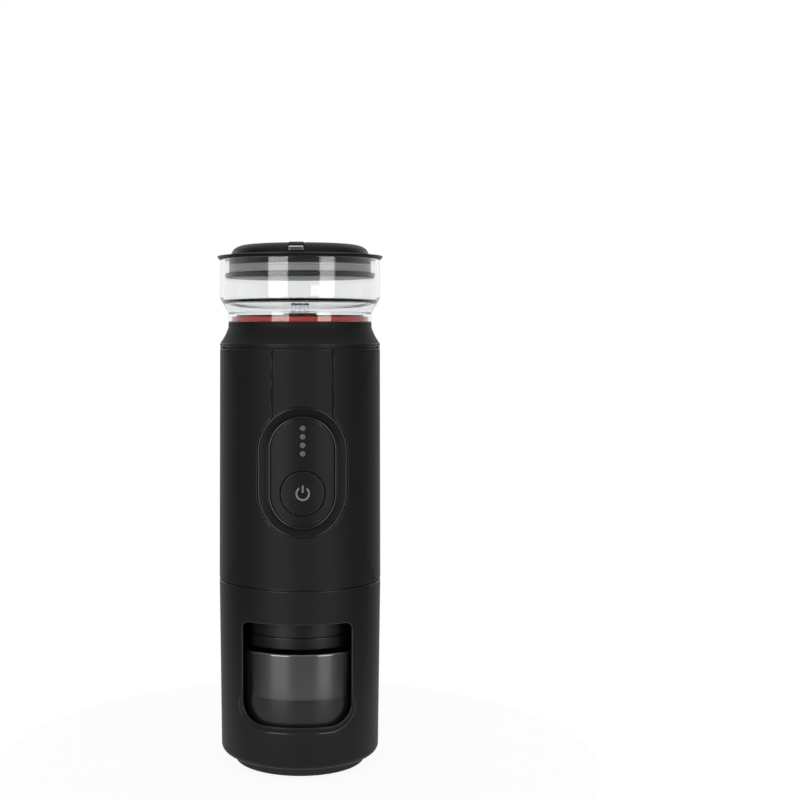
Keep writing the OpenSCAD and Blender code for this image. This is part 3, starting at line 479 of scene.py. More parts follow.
def slot_finishes(tints):
    """One material for each material slot of the record."""
    recipes = {
        "body_plastic": (moulded, tints.body, 0.54),
        "sleeve_plastic": (moulded, tints.sleeve, 0.54),
        "panel_plastic": (moulded, tints.panel, 0.45, 0.2, 0.006),
        "lid_plastic": (moulded, tints.lid, 0.45),
        "flap_plastic": (plated, tints.lid, tints.steel),
        "plug_plastic": (moulded, tints.plug, 0.4, 0.3, 0.006, 0.5),
        "head_plastic": (moulded, tints.panel, 0.42, 0.3, 0.006, 0.2),
        "frame_plastic": (moulded, tints.frame_part, 0.5),
        "clear_tank": (see_through, tints.tank, 0.01, 0.01),
        "smoky_cup": (smoky, tints.cup, CUP_SHADE_LINE_Z),
        "red_silicone": (rubbery, tints.red_seal, 0.42, 0.15),
        "black_rubber": (rubbery, tints.rubber, 0.6),
        "pale_silicone": (rubbery, tints.silicone, 0.4, 0.2),
        "light_pipe": (moulded, tints.lights, 0.25, 0.4, 0.002, 0.5),
        "symbol_paint": (moulded, tints.symbol, 0.4, 0.15, 0.004, 0.4),
        "switch_parts": (moulded, tints.frame_part, 0.35, 0.3, 0.004, 0.5),
        "circuit_board": (laminate, tints.board, tints.brass),
        "cell_wrap": (wrapped, tints.cells),
        "steel": (metal, tints.steel, 0.32, 900, (1, 1, 0.12)),
        "pump_brass": (metal, tints.brass, 0.3, 900, (1, 1, 0.12)),
        "gear_plastic": (moulded, tints.gears, 0.4, 0.3, 0.004, 0.5),
        "heater_metal": (metal, tints.heater, 0.5, 1400, (1, 1, 1)),
    }
    finishes = {}
    for slot, (make, *values) in recipes.items():
        finishes[slot], f = finish_for(slot)
        make(f, *values)
    return finishes


def weld(bm):
    """Merges coincident corners and turns the faces outwards."""
    bmesh.ops.remove_doubles(bm, verts=bm.verts, dist=WELD)
    bmesh.ops.recalc_face_normals(bm, faces=bm.faces)


def mark_wear(bm):
    """Marks the narrow faces of rounded outer edges, which handling polishes."""
    if bm.faces.layers.float.get(WEAR):
        return
    layer = bm.faces.layers.float.new(WEAR)
    for face in bm.faces:
        edges = sorted(face.edges, key=lambda edge: edge.calc_length())
        narrow = face.calc_area() / edges[-1].calc_length() < WEAR_WIDTH
        even = edges[0].calc_length() > edges[1].calc_length() / 2
        bend = min(edge.calc_face_angle_signed(0) for edge in edges[-2:])
        if len(edges) == 4 and narrow and even and WEAR_BEND < bend < SHARP_ANGLE:
            face[layer] = 1


def as_object(bm, name, material):
    """Turns the mesh into an object of the scene."""
    mesh = bpy.data.meshes.new(name)
    bm.to_mesh(mesh)
    bm.free()
    mesh.materials.append(material)
    made = bpy.data.objects.new(name, mesh)
    bpy.context.scene.collection.objects.link(made)
    return made


def add_piece(bm, name, *nodes):
    """Makes the finished object, which takes the body, slot and material of the node it stands for."""
    mark_wear(bm)
    bmesh.ops.scale(bm, vec=(MM, MM, MM), verts=bm.verts)
    for face in bm.faces:
        face.smooth = True
    for edge in bm.edges:
        edge.smooth = edge.calc_face_angle(0) < SHARP_ANGLE
    piece = as_object(bm, name, bpy.data.materials[SLOT_OF[nodes[0]] + FINISH])
    piece.modifiers.new("Weighted Normal", "WEIGHTED_NORMAL").keep_sharp = True
    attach(piece, BODY_OF[nodes[0]])
    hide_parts(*nodes)


def rounded(corners, closed):
    """Points of a profile of (radius, height, round) corners."""
    points = []
    for index, (radius, height, fillet) in enumerate(corners):
        corner = Vector((radius, height))
        if not fillet or not (closed or 0 < index < len(corners) - 1):
            points.append(corner)
            continue
        before = (Vector(corners[index - 1][:2]) - corner).normalized()
        after = (Vector(corners[(index + 1) % len(corners)][:2]) - corner).normalized()
        half = before.angle(after) / 2
        centre = corner + (before + after).normalized() * (fillet / math.sin(half))
        start = corner + before * (fillet / math.tan(half)) - centre
        end = corner + after * (fillet / math.tan(half)) - centre
        for step in range(ROUND_STEPS + 1):
            points.append(centre + start.slerp(end, step / ROUND_STEPS) * fillet)
    return points


def spin(bm, geom, angle, steps, whole=False):
    """Spins edges or faces round the upright axis."""
    bmesh.ops.spin(bm, geom=geom, axis=(0, 0, 1), cent=(0, 0, 0), angle=angle, steps=steps,
                   use_merge=whole)


def spun(corners, closed=True):
    """A turned piece: the rounded profile spun once round the axis."""
    bm = bmesh.new()
    verts = [bm.verts.new((point.x, 0, point.y)) for point in rounded(corners, closed)]
    edges = [bm.edges.new(pair) for pair in zip(verts, verts[1:])]
    if closed:
        edges.append(bm.edges.new((verts[-1], verts[0])))
    spin(bm, verts + edges, math.tau, SPIN_STEPS, True)
    weld(bm)
    return bm


def outline(width, bottom, top, low_round, top_round):
    """Points of an upright outline in (x, z), each with its outward direction."""
    side = width / 2
    bends = []
    for x, z, radius, start in (
            (side - low_round, bottom + low_round, low_round, -90),
            (side - top_round, top - top_round, top_round, 0),
            (top_round - side, top - top_round, top_round, 90),
            (low_round - side, bottom + low_round, low_round, 180)):
        bend = []
        for step in range(BEND_STEPS + 1):
            angle = math.radians(start + 90 * step / BEND_STEPS)
            out = Vector((math.cos(angle), math.sin(angle)))
            bend.append((Vector((x, z)) + out * radius, out))
        bends.append(bend)
    path = []
    for bend, following in zip(bends, bends[1:] + bends[:1]):
        path += bend
        start, out = bend[-1]
        run = following[0][0] - start
        parts = math.ceil(run.length / STRAIGHT_STEP)
        if run.length < WELD:
            path.pop()
        path += [(start + run * (part / parts), out) for part in range(1, parts)]
    return path


def stadium(width, height):
    """Round-ended outline of the control field."""
    low_z = CONTROLS_Z - height / 2
    return outline(width, low_z, low_z + height, width / 2, width / 2)


def body_radius(z):
    """Outer radius of the body at a height."""
    return SEAM_R + (TANK_R - SEAM_R) * (z - BODY_Z) / (SHOULDER_Z - BODY_Z)


def on_front(radius, x, z):
    """Point of a round wall's front, x to the side of its middle."""
    return Vector((x, -math.sqrt(radius ** 2 - x ** 2), z))


def on_wall(radius, angle, z):
    """Point of a round wall, the angle running from the front to the right."""
    return Vector((radius * math.sin(angle), -radius * math.cos(angle), z))


def verts_of(items):
    """The corners of edges or faces."""
    return {vert for item in items for vert in item.verts}


def extruded(bm, edges):
    """Extrudes edges and gives the new ones."""
    old = verts_of(edges)
    made = bmesh.ops.extrude_edge_only(bm, edges=edges)["geom"]
    return [item for item in made if isinstance(item, bmesh.types.BMEdge) and not old & set(item.verts)]


def loft(bm, rings):
    """Skin through rings of points: the first is drawn, each later one extruded from the last."""
    loop = [bm.verts.new(point) for point in rings[0]]
    edges = [bm.edges.new((loop[index - 1], loop[index])) for index in range(len(loop))]
    first = loop
    for ring in rings[1:]:
        edges = extruded(bm, edges)
        fresh = verts_of(edges)
        following = []
        for vert, point in zip(loop, ring):
            around = (edge.other_vert(vert) for edge in vert.link_edges)
            partner = next(other for other in around if other in fresh)
            partner.co = point
            following.append(partner)
        loop = following
    return first, loop


def sunk_ring(spots, depth):
    """Ring through (x, height) spots of the body's front, sunk by a depth."""
    return [on_front(body_radius(spot.y) - depth, spot.x, spot.y) for spot in spots]


def skin_rings(path, stations):
    """Rings on the body's front: the outline moved out and sunk by each station's two lengths."""
    return [sunk_ring([point + out * offset for point, out in path], depth) for offset, depth in stations]


def disc_rings(path, stations):
    """Rings round the button's middle, matched to an outline: each station is a radius and a depth."""
    middle = Vector((0, BUTTON_Z))
    rays = [(point - middle).normalized() for point, out in path]
    return [sunk_ring([middle + ray * radius for ray in rays], depth) for radius, depth in stations]


def between(first, last, parts):
    """Rings that lead from one ring on the body's front to another, each as deep as the first."""
    rings = []
    for part in range(1, parts):
        ring = []
        for start, end in zip(first, last):
            spot = start.lerp(end, part / parts)
            depth = body_radius(start.z) - start.xy.length
            ring.append(on_front(body_radius(spot.z) - depth, spot.x, spot.z))
        rings.append(ring)
    return rings


def far_frame(path, radius_at, low_z, high_z):
    """The outline cast outwards onto the edge of the wall's front part, as (angle, height)."""
    middle = sum(point.y for point, out in path) / len(path)
    cast = []
    for point, out in path:
        across = math.asin(point.x / radius_at(point.y)) / SIDE_ANGLE
        up = point.y - middle
        up /= (high_z - middle) if up > 0 else (middle - low_z)
        reach = max(abs(across), abs(up))
        cast.append(Vector((across / reach, up / reach)))
    for corner in (Vector((x, y)) for x in (-1, 1) for y in (-1, 1)):
        nearest = min(range(len(cast)), key=lambda index: (cast[index] - corner).length)
        cast[nearest] = corner
    span = {True: high_z - middle, False: middle - low_z}
    return [Vector((spot.x * SIDE_ANGLE, middle + spot.y * span[spot.y > 0])) for spot in cast]


def windowed_tube(bm, radius_at, bore, path, lip, low_z, high_z):
    """Tube with a window: lofted from bore to outside round the window, spun round the rest.
    lip gives the (offset, depth) stations of the window's edge at a point of its outline.
    """
    far = far_frame(path, radius_at, low_z, high_z)
    stations = [lip(point) for point, out in path]
    edge_rings = []
    for step in range(len(stations[0])):
        ring = []
        for (point, out), pairs in zip(path, stations):
            spot = point + out * pairs[step][0]
            radius = max(bore, radius_at(spot.y) - pairs[step][1])
            ring.append(on_front(radius, spot.x, spot.y))
        edge_rings.append(ring)
    inside = []
    outside = []
    for part in range(INNER_RINGS):
        inside.append([
            on_wall(bore, *Vector((math.asin(spot.x / bore), spot.z)).lerp(reach, 1 - part / INNER_RINGS))
            for spot, reach in zip(edge_rings[0], far)])
    for part in range(1, OUTER_RINGS + 1):
        ring = []
        for spot, reach in zip(edge_rings[-1], far):
            start = Vector((math.asin(spot.x / radius_at(spot.z)), spot.z))
            angle, z = start.lerp(reach, part / OUTER_RINGS)
            ring.append(on_wall(radius_at(z), angle, z))
        outside.append(ring)
    for loop in loft(bm, inside + edge_rings + outside):
        side = {vert for vert, reach in zip(loop, far) if reach.x > SIDE_ANGLE - 1e-6}
        edges = {edge for vert in side for edge in vert.link_edges if edge.other_vert(vert) in side}
        spin(bm, [*side, *edges], math.tau - 2 * SIDE_ANGLE, BACK_STEPS)
    bmesh.ops.remove_doubles(bm, verts=bm.verts, dist=WELD)


def carry_rim(bm, radius, z, stations):
    """Carries the open rim at a radius and height on through further (radius, height) stations."""
    edges = []
    for edge in bm.edges:
        spots = [vert.co for vert in edge.verts]
        near = (abs(spot.z - z) < NEAR and abs(spot.xy.length - radius) < NEAR for spot in spots)
        if edge.is_boundary and all(near):
            edges.append(edge)
    for radius, z in stations:
        edges = extruded(bm, edges)
        for vert in verts_of(edges):
            vert.co = (*(vert.co.xy.normalized() * radius), z)


def rolled_edge(size):
    """Stations of a small rounded edge: how far out of the outline, how deep."""
    stations = []
    for step in range(ROUND_STEPS + 1):
        angle = math.radians(90 * step / ROUND_STEPS)
        stations.append((size * (1 - math.cos(angle)), size * (1 - math.sin(angle))))
    return stations


def quarter(radius, z, size, way):
    """Stations of a rounded outer edge that starts at a radius and height and goes up or down."""
    return [(radius - out, z + way * (size - deep)) for out, deep in rolled_edge(size)[1:]]


def bevel(bm, edges, size, segments):
    """Rounds edges."""
    bmesh.ops.bevel(bm, geom=edges, offset=size, affect="EDGES", segments=segments, profile=0.5,
                    material=-1)


def cut(bm, faces, point, direction):
    """Cuts faces along a plane and keeps both sides."""
    geom = set(faces)
    for face in faces:
        geom.update(face.edges)
        geom.update(face.verts)
    bmesh.ops.bisect_plane(bm, geom=list(geom), dist=1e-5, plane_co=point, plane_no=direction)


def cut_groove(bm, sizes, angle, low_z):
    """Upright groove in the body, from a height up to the shoulder."""
    across = Vector((math.cos(angle), math.sin(angle), 0))
    forward = on_wall(1, angle, 0)
    half = sizes.groove_w / 2
    steps = ((half + 0.14, 0), (half + 0.03, 0.06), (half - 0.03, 0.18), (half - 0.1, sizes.groove_d))
    reach = steps[0][0]
    lead = 0.3

    def touched():
        found = []
        for face in bm.faces:
            spots = [vert.co for vert in face.verts]
            offsets = [spot.dot(across) for spot in spots]
            middle = face.calc_center_median()
            near = min(offsets) < reach and max(offsets) > -reach and middle.dot(forward) > 0
            outside = middle.xy.length > sizes.bore + OUTER_SKIN
            if near and outside and max(spot.z for spot in spots) > low_z:
                found.append(face)
        return found

    for offset, depth in steps:
        for way in (-1, 1):
            cut(bm, touched(), across * offset * way, across)
    for z in (low_z, low_z + lead):
        cut(bm, touched(), (0, 0, z), (0, 0, 1))
    for vert in verts_of(touched()):
        offset = abs(vert.co.dot(across))
        if offset > reach + 1e-4 or vert.co.z < low_z + lead - 0.01:
            continue
        depth = next((deep for edge, deep in reversed(steps) if offset < edge + 1e-3), 0)
        radius = min(vert.co.xy.length, body_radius(vert.co.z) - depth)
        vert.co = (*(vert.co.xy.normalized() * radius), vert.co.z)


def cut_port(bm, sizes):
    """Pocket for the charging port's cover, with the slot in front of the socket."""
    cover_low = low("port_cover")
    cover_high = high("port_cover")
    socket_z = middle_z("usb_socket")
    gap = 0.3
    half = cover_high.x + gap
    bottom = cover_low.z - gap
    top = cover_high.z + gap
    floor_y = sizes.bore + 0.8
    slot_w, slot_h = 5.0, 2.3
    margin_x, margin_z = 6, 40

    def cut_window(wide, z_low, z_high, outer):
        def held(face):
            middle = face.calc_center_median()
            return middle.y > 0 and (middle.xy.length > sizes.bore + OUTER_SKIN) == outer

        def close(spot):
            return abs(spot.x) < wide + margin_x and z_low - margin_z < spot.z < z_high + margin_z

        def near():
            return [face for face in bm.faces if held(face) and any(close(vert.co) for vert in face.verts)]

        for way in (-1, 1):
            cut(bm, near(), (wide * way, 0, 0), (1, 0, 0))
        for z in (z_low, z_high):
            cut(bm, near(), (0, 0, z), (0, 0, 1))
        inside = []
        for face in near():
            middle = face.calc_center_median()
            if abs(middle.x) < wide and z_low < middle.z < z_high:
                inside.append(face)
        bmesh.ops.delete(bm, geom=inside, context="FACES")
        return [edge for edge in bm.edges if edge.is_boundary]

    hole = cut_window(slot_w, socket_z - slot_h, socket_z + slot_h, False)
    edges = [edge for edge in cut_window(half, bottom, top, True) if edge not in hole]
    middle = (bottom + top) / 2
    for stretch_x, stretch_z, y, centre in (
            (1, 1, floor_y, middle),
            (slot_w / half, 2 * slot_h / (top - bottom), floor_y, socket_z)):
        edges = extruded(bm, edges)
        for vert in verts_of(edges):
            vert.co = (vert.co.x * stretch_x, y, centre + (vert.co.z - middle) * stretch_z)
    bmesh.ops.bridge_loops(bm, edges=edges + hole)


def place_aimed(item, spot, target):
    """Puts a camera or lamp at a spot of the scene, turned to a target."""
    item.location = spot
    item.rotation_euler = (Vector(target) - item.location).to_track_quat("-Z", "Y").to_euler()
    bpy.context.scene.collection.objects.link(item)


class EspressoOperator:
    """What the operators of this panel share: each builds its share from the scene's settings."""
    bl_options = {"REGISTER", "UNDO"}

    def execute(self, context):
        self.build(Settings(context.scene))
        return {"FINISHED"}


class ESPRESSO_OT_stage(EspressoOperator, bpy.types.Operator):
    """Camera, soft boxes, pale floor and white backdrop"""
    bl_idname = "espresso.stage"
    bl_label = "Stage"

    def build(self, s):
        scene = s.scene
        scene.view_settings.view_transform = "Standard"
        camera = bpy.data.objects.new("camera", bpy.data.cameras.new("camera"))
        camera.data.lens = CAMERA_LENS
        camera.data.shift_x = FRAME_SHIFT
        camera.data.clip_start = 0.01
        place_aimed(camera, CAMERA_SPOT, CAMERA_AIM)
        scene.camera = camera
        for name, azimuth, width in SOFT_BOXES:
            lamp = bpy.data.lights.new(name, "AREA")
            lamp.shape = "RECTANGLE"
            lamp.size = width
            lamp.size_y = BOX_HEIGHT
            lamp.energy = BOX_LEVEL * math.pi * width * BOX_HEIGHT
            spot = on_wall(1, math.radians(azimuth), BOX_AIM[2])
            place_aimed(bpy.data.objects.new(name, lamp), spot, BOX_AIM)
        self.add_floor()
        self.light_world(scene)

    def add_floor(self):
        """Pale disc that is all but white to look at and still takes the object's shadow."""
        bm = bmesh.new()
        bmesh.ops.create_circle(bm, cap_ends=True, segments=96, radius=FLOOR_R)
        material, f = finish_for("floor_paper")
        cloud = f.noise(30, 3)
        pale = f.surface({
            "Base Color": f.shade((0.9, 0.9, 0.9), cloud, 0.03),
            "Roughness": 0.8,
            "Normal": f.bump(f.noise(1800, 2), 0.02),
        })
        white = f.node("Emission", {}, {"Color": (1, 1, 1, 1), "Strength": 1.0})
        seen = f.ray("Is Camera Ray").either(f.ray("Is Glossy Ray")).either(f.ray("Is Transmission Ray"))
        f.out(f.node("MixShader", {}, {0: seen * FLOOR_WHITE, 1: pale, 2: white}))
        floor = as_object(bm, "floor", material)

    def light_world(self, scene):
        """White behind and overhead, dark in front; white where the eye meets it, also through the tank."""
        scene.world = bpy.data.worlds.new("studio")
        scene.world.use_nodes = True
        f = Finish(scene.world.node_tree)
        way = f.node("TexCoord", {}, {}, "Generated")
        depth = f.node("SeparateXYZ", {}, {"Vector": way}, "Y") * 0.5 + 0.5
        height = f.node("SeparateXYZ", {}, {"Vector": way}, "Z") * 0.5 + 0.5
        behind = f.ramp(depth, (0.64, 0.1), (0.9, 1.0))
        overhead = f.ramp(height, (0.78, 0.0), (0.95, 1.2))
        straight = f.ray("Glossy Depth") < 0.5
        ahead = straight * f.ramp(depth, (0.25, 1.0), (0.4, 0.0))
        through = f.ray("Is Transmission Ray") * f.ramp(depth, (0.1, 0.0), (0.55, 1.0)).either(ahead)
        strength = behind.either(overhead).either(f.ray("Is Camera Ray")).either(through)
        f.out(f.node("Background", {}, {"Color": (1, 1, 1, 1), "Strength": strength}), "OutputWorld")


class ESPRESSO_OT_finishes(EspressoOperator, bpy.types.Operator):
    """Materials of all slots, put on the CAD nodes"""
    bl_idname = "espresso.finishes"
    bl_label = "Finishes"

    def build(self, s):
        finishes = slot_finishes(s.scene.espresso_colours)
        for node, piece in frame["nodes"].items():
            for holder in piece.material_slots:
                holder.material = finishes[SLOT_OF[node]]


class ESPRESSO_OT_body(EspressoOperator, bpy.types.Operator):
    """Body tube with the control field's opening, its upright grooves and the charging port's pocket"""
    bl_idname = "espresso.body"
    bl_label = "Body"

    def build(self, s):
        bm = bmesh.new()
        top = SHOULDER_Z - s.edge
        bottom = BODY_Z + s.seam_edge
        stations = [(0, THROUGH), *rolled_edge(0.25), (0.8, 0)]
        windowed_tube(bm, body_radius, s.bore, stadium(s.bezel_w, s.bezel_h), lambda point: stations,
                      bottom, top)
        for z, way, edge in ((top, 1, s.edge), (bottom, -1, s.seam_edge)):
            radius = body_radius(z)
            closing = [(s.bore + edge, z + way * edge), (s.bore, z)]
            carry_rim(bm, radius, z, quarter(radius, z, edge, way) + closing)
        weld(bm)
        for way in (-1, 1):
            cut_groove(bm, s, way * s.front_groove, CONTROLS_Z)
            cut_groove(bm, s, way * s.side_groove, BODY_Z + s.groove_rise)
        cut_port(bm, s)
        weld(bm)
        add_piece(bm, "body", "body_shell")


class ESPRESSO_OT_sleeve(EspressoOperator, bpy.types.Operator):
    """Lower sleeve with its window and the scooped lip below it"""
    bl_idname = "espresso.sleeve"
    bl_label = "Sleeve"

    def build(self, s):
        top = RIM_Z - s.edge
        bottom = SLEEVE_Z + s.sleeve_round

        def radius_at(z):
            return SEAM_R - s.sleeve_draft * (RIM_Z - z) / (RIM_Z - bottom)

        def lip(point):
            edge, scoop_top, fade = 0.6, 0.32, 0.22
            rise = (point.y - s.window_low) / (s.window_high - s.window_low)
            blend = min(1, max(0, (scoop_top - rise) / fade))
            scoop = blend * blend * (3 - 2 * blend)
            width = s.lip_w * scoop
            depth = s.lip_d * scoop
            rolled = [(out, deep + depth) for out, deep in rolled_edge(edge)]
            reach = edge + width
            hollow = [(edge + width * part, depth * (1 - part) ** 0.7) for part in (0.25, 0.5, 0.75, 0.92)]
            return [(0, THROUGH), *rolled, *hollow, (reach + 0.12, 0.03 * scoop), (reach + 0.5, 0)]

        bm = bmesh.new()
        path = outline(s.window_w, s.window_low, s.window_high, s.window_sill_round, s.window_head_round)
        windowed_tube(bm, radius_at, s.sleeve_bore, path, lip, bottom, top)
        foot = radius_at(bottom)
        floor_r, floor_z = 20, SLEEVE_Z + s.sleeve_floor
        carry_rim(bm, SEAM_R, top, [*quarter(radius_at(top), top, s.edge, 1),
                                    (s.sleeve_bore + s.edge, RIM_Z), (s.sleeve_bore, top)])
        carry_rim(bm, foot, bottom, [*quarter(foot, bottom, s.sleeve_round, -1),
                                     (floor_r, SLEEVE_Z), (0, SLEEVE_Z)])
        carry_rim(bm, s.sleeve_bore, bottom, [(s.sleeve_bore - 0.8, floor_z),
                                              (floor_r, floor_z), (0, floor_z)])
        weld(bm)
        bmesh.ops.rotate(bm, verts=bm.verts, matrix=Matrix.Rotation(s.window_turn, 3, "Z"))
        add_piece(bm, "sleeve", "cup_sleeve")


class ESPRESSO_OT_foot(EspressoOperator, bpy.types.Operator):
    """Rubber foot ring with two tread grooves"""
    bl_idname = "espresso.foot"
    bl_label = "Foot ring"

    def build(self, s):
        outer = high("foot_pad").x
        inner = outer - 9
        half, deep, soft = 0.5, 0.6, 0.15
        tread = []
        for middle in (inner + 3, inner + 6):
            near, far = middle - half, middle + half
            tread += [(near, 0, soft), (near, deep, soft), (far, deep, soft), (far, 0, soft)]
        add_piece(spun([
            (inner, SLEEVE_Z, 0), (inner, 0, 0.5), *tread, (outer, 0, 0.9), (outer, SLEEVE_Z, 0),
        ]), "foot_ring", "foot_pad")


class ESPRESSO_OT_cup(EspressoOperator, bpy.types.Operator):
    """Smoky cup with a raised inner floor"""
    bl_idname = "espresso.cup"
    bl_label = "Cup"

    def build(self, s):
        mouth_r = high("cup").x
        well_z = CUP_Z + s.cup_well

        def outer(z):
            return s.cup_base_r + (mouth_r - s.cup_base_r) * (z - CUP_Z) / (CUP_TOP_Z - CUP_Z)

        under_z = well_z - s.cup_floor
        add_piece(spun([
            (0, under_z, 0),
            (outer(under_z) - s.cup_wall, under_z, 1.0),
            (s.cup_base_r - s.cup_wall, CUP_Z, 0.5),
            (s.cup_base_r, CUP_Z, 0.6),
            (mouth_r, CUP_TOP_Z, 0.8),
            (mouth_r - s.cup_wall, CUP_TOP_Z, 0.8),
            (outer(well_z) - s.cup_wall, well_z, 2.0),
            (0, well_z, 0),
        ], closed=False), "smoky_cup", "cup")


class ESPRESSO_OT_holder(EspressoOperator, bpy.types.Operator):
    """Capsule holder with its three bayonet lugs"""
    bl_idname = "espresso.holder"
    bl_label = "Capsule holder"

    def build(self, s):
        outer = 28.0
        inner = 25.5
        spout = 2.5
        base_z = HOLDER_Z + 2.5
        drip_in, drip_out, drip_z = 21, 24, HOLDER_Z + 0.8
        line_r = outer - 0.6
        line_z = HOLDER_Z + 5.5
        line_top = line_z + 0.8
        bm = spun([
            (spout, HOLDER_Z, 0.3), (drip_in, HOLDER_Z, 0.2), (drip_in, drip_z, 0.2),
            (drip_out, drip_z, 0.2), (drip_out, HOLDER_Z, 0.2), (outer, HOLDER_Z, 0.8),
            (outer, line_z, 0.45), (line_r, line_z, 0.05), (line_r, line_top, 0.05),
            (outer, line_top, 0.12), (outer, HOLDER_TOP_Z, 0.5), (inner, HOLDER_TOP_Z, 0.4),
            (inner, base_z, 1.0), (spout, base_z, 0.3),
        ])
        lug_low = HOLDER_TOP_Z - 3.5
        lug_high = lug_low + 2.4
        lug_r = 30.2
        sweep = math.radians(24)
        for start in (0, 120, 240):
            angle = math.radians(start) - sweep / 2
            corners = ((outer - 1, lug_low), (lug_r, lug_low), (lug_r, lug_high), (outer - 1, lug_high))
            spots = [(radius * math.cos(angle), radius * math.sin(angle), z) for radius, z in corners]
            face = bm.faces.new([bm.verts.new(spot) for spot in spots])
            spin(bm, [face, *face.edges, *face.verts], sweep, 8)
        weld(bm)
        add_piece(bm, "holder", "capsule_holder")


class ESPRESSO_OT_collar(EspressoOperator, bpy.types.Operator):
    """Shoulder that sweeps up into the neck, with the tank's seat and the screw bosses"""
    bl_idname = "espresso.collar"
    bl_label = "Collar"

    def build(self, s):
        groove_z = SHOULDER_Z + 0.8
        brim = Vector((TANK_R, groove_z + s.brim_h))
        neck = Vector((s.neck_r, NECK_Z - s.neck_h))
        groove_r = TANK_R - 0.7
        spigot_in, spigot_out, spigot_z = 30.1, 33.3, SHOULDER_Z - 6
        ring_in, ring_out, ring_z = 26.5, 28.6, NECK_Z + 3.0
        socket_in, socket_out, socket_z = 5.2, 7.5, NECK_Z + 5.9
        pipe_in, pipe_out, pipe_z = 1.5, 3.3, NECK_Z - 9
        seat_z = NECK_Z - 3
        deck_z = NECK_Z - 4
        bm = spun([
            (spigot_in, spigot_z, 0), (spigot_out, spigot_z, 0.3), (spigot_out, SHOULDER_Z, 0),
            (groove_r, SHOULDER_Z, 0), (groove_r, groove_z, 0.1), (TANK_R, groove_z, 0.35),
            *self.sweep(brim, neck, s.shoulder_r), (s.neck_r, NECK_Z, 0.35),
            (ring_out, NECK_Z, 0.2), (ring_out, ring_z, 0.3), (ring_in, ring_z, 0.3), (ring_in, NECK_Z, 0.2),
            (socket_out, NECK_Z, 0.2), (socket_out, socket_z, 0.3), (socket_in, socket_z, 0.3),
            (socket_in, seat_z, 0), (pipe_in, seat_z, 0), (pipe_in, pipe_z, 0), (pipe_out, pipe_z, 0.2),
            (pipe_out, deck_z, 0.2), (spigot_in, deck_z, 0.5),
        ])
        for vert in bm.verts:
            angle = math.atan2(abs(vert.co.x), -vert.co.y)
            radius = vert.co.xy.length
            level = SHOULDER_Z - NEAR < vert.co.z < groove_z + 0.2
            if level and radius > TANK_R - 0.8 and angle > s.side_groove:
                vert.co.xy *= max(radius, TANK_R - 0.1) / radius
        boss_r = 28.5
        boss_low = low("top_collar").z
        for degrees in (-35, -145, 62.5, 117.5):
            angle = math.radians(degrees)
            middle = Vector((boss_r * math.cos(angle), boss_r * math.sin(angle), (boss_low + deck_z) / 2))
            bmesh.ops.create_cone(bm, cap_ends=True, segments=28, radius1=2.95, radius2=3.0,
                                  depth=deck_z - boss_low, matrix=Matrix.Translation(middle))
        add_piece(bm, "collar", "top_collar")

    def sweep(self, brim, neck, radius):
        """Corners of the hollow curve from the brim up to the neck."""
        chord = neck - brim
        out = Vector((chord.y, -chord.x)).normalized()
        centre = (brim + neck) / 2 + out * math.sqrt(radius ** 2 - (chord.length / 2) ** 2)
        start = brim - centre
        end = neck - centre
        parts = [step / SWEEP_STEPS for step in range(1, SWEEP_STEPS)]
        curve = [centre + start.slerp(end, part) * radius for part in parts]
        return [(*brim, 0.6), *((point.x, point.y, 0) for point in curve), (*neck, 0.6)]


class ESPRESSO_OT_tank(EspressoOperator, bpy.types.Operator):
    """Clear water tank with its floor, flared skirt and outlet pipe"""
    bl_idname = "espresso.tank"
    bl_label = "Water tank"

    def build(self, s):
        inner = TANK_R - s.tank_wall
        skirt_in = s.neck_r - 1.2
        skirt_z = NECK_Z + s.tank_skirt
        under_z = NECK_Z + s.tank_under
        floor_z = under_z + s.tank_floor
        pipe_in, pipe_out, pipe_z = 2.5, 4, low("water_tank").z
        add_piece(spun([
            (skirt_in, NECK_Z, 0.25), (s.neck_r, NECK_Z, 0.3), (s.neck_r, skirt_z, 2.4),
            (TANK_R, NECK_Z + s.tank_flare, 3.0), (TANK_R, TANK_Z, 0.4), (inner, TANK_Z, 0.4),
            (inner, floor_z, 0.6), (pipe_in, floor_z, 0.4), (pipe_in, pipe_z, 0.2), (pipe_out, pipe_z, 0.3),
            (pipe_out, under_z, 0.5), (inner - 0.6, under_z, 0.6), (skirt_in, skirt_z + 0.7, 1.2),
        ]), "clear_tank", "water_tank")


class ESPRESSO_OT_seals(EspressoOperator, bpy.types.Operator):
    """Red ring under the tank and dark ring round the plug"""
    bl_idname = "espresso.seals"
    bl_label = "Seals"

    def build(self, s):
        for name, node, wide, soft, drop in (
                ("red_ring", "tank_seal", 2.0, 0.5, 0), ("plug_ring", "lid_seal", 3.2, 0.7, 0.9)):
            outer = high(node).x
            inner = outer - wide
            z_low = low(node).z - drop
            z_high = high(node).z - 0.5
            add_piece(spun([
                (inner, z_low, 0.2), (outer, z_low, soft), (outer, z_high, soft), (inner, z_high, 0.2),
            ]), name, node)


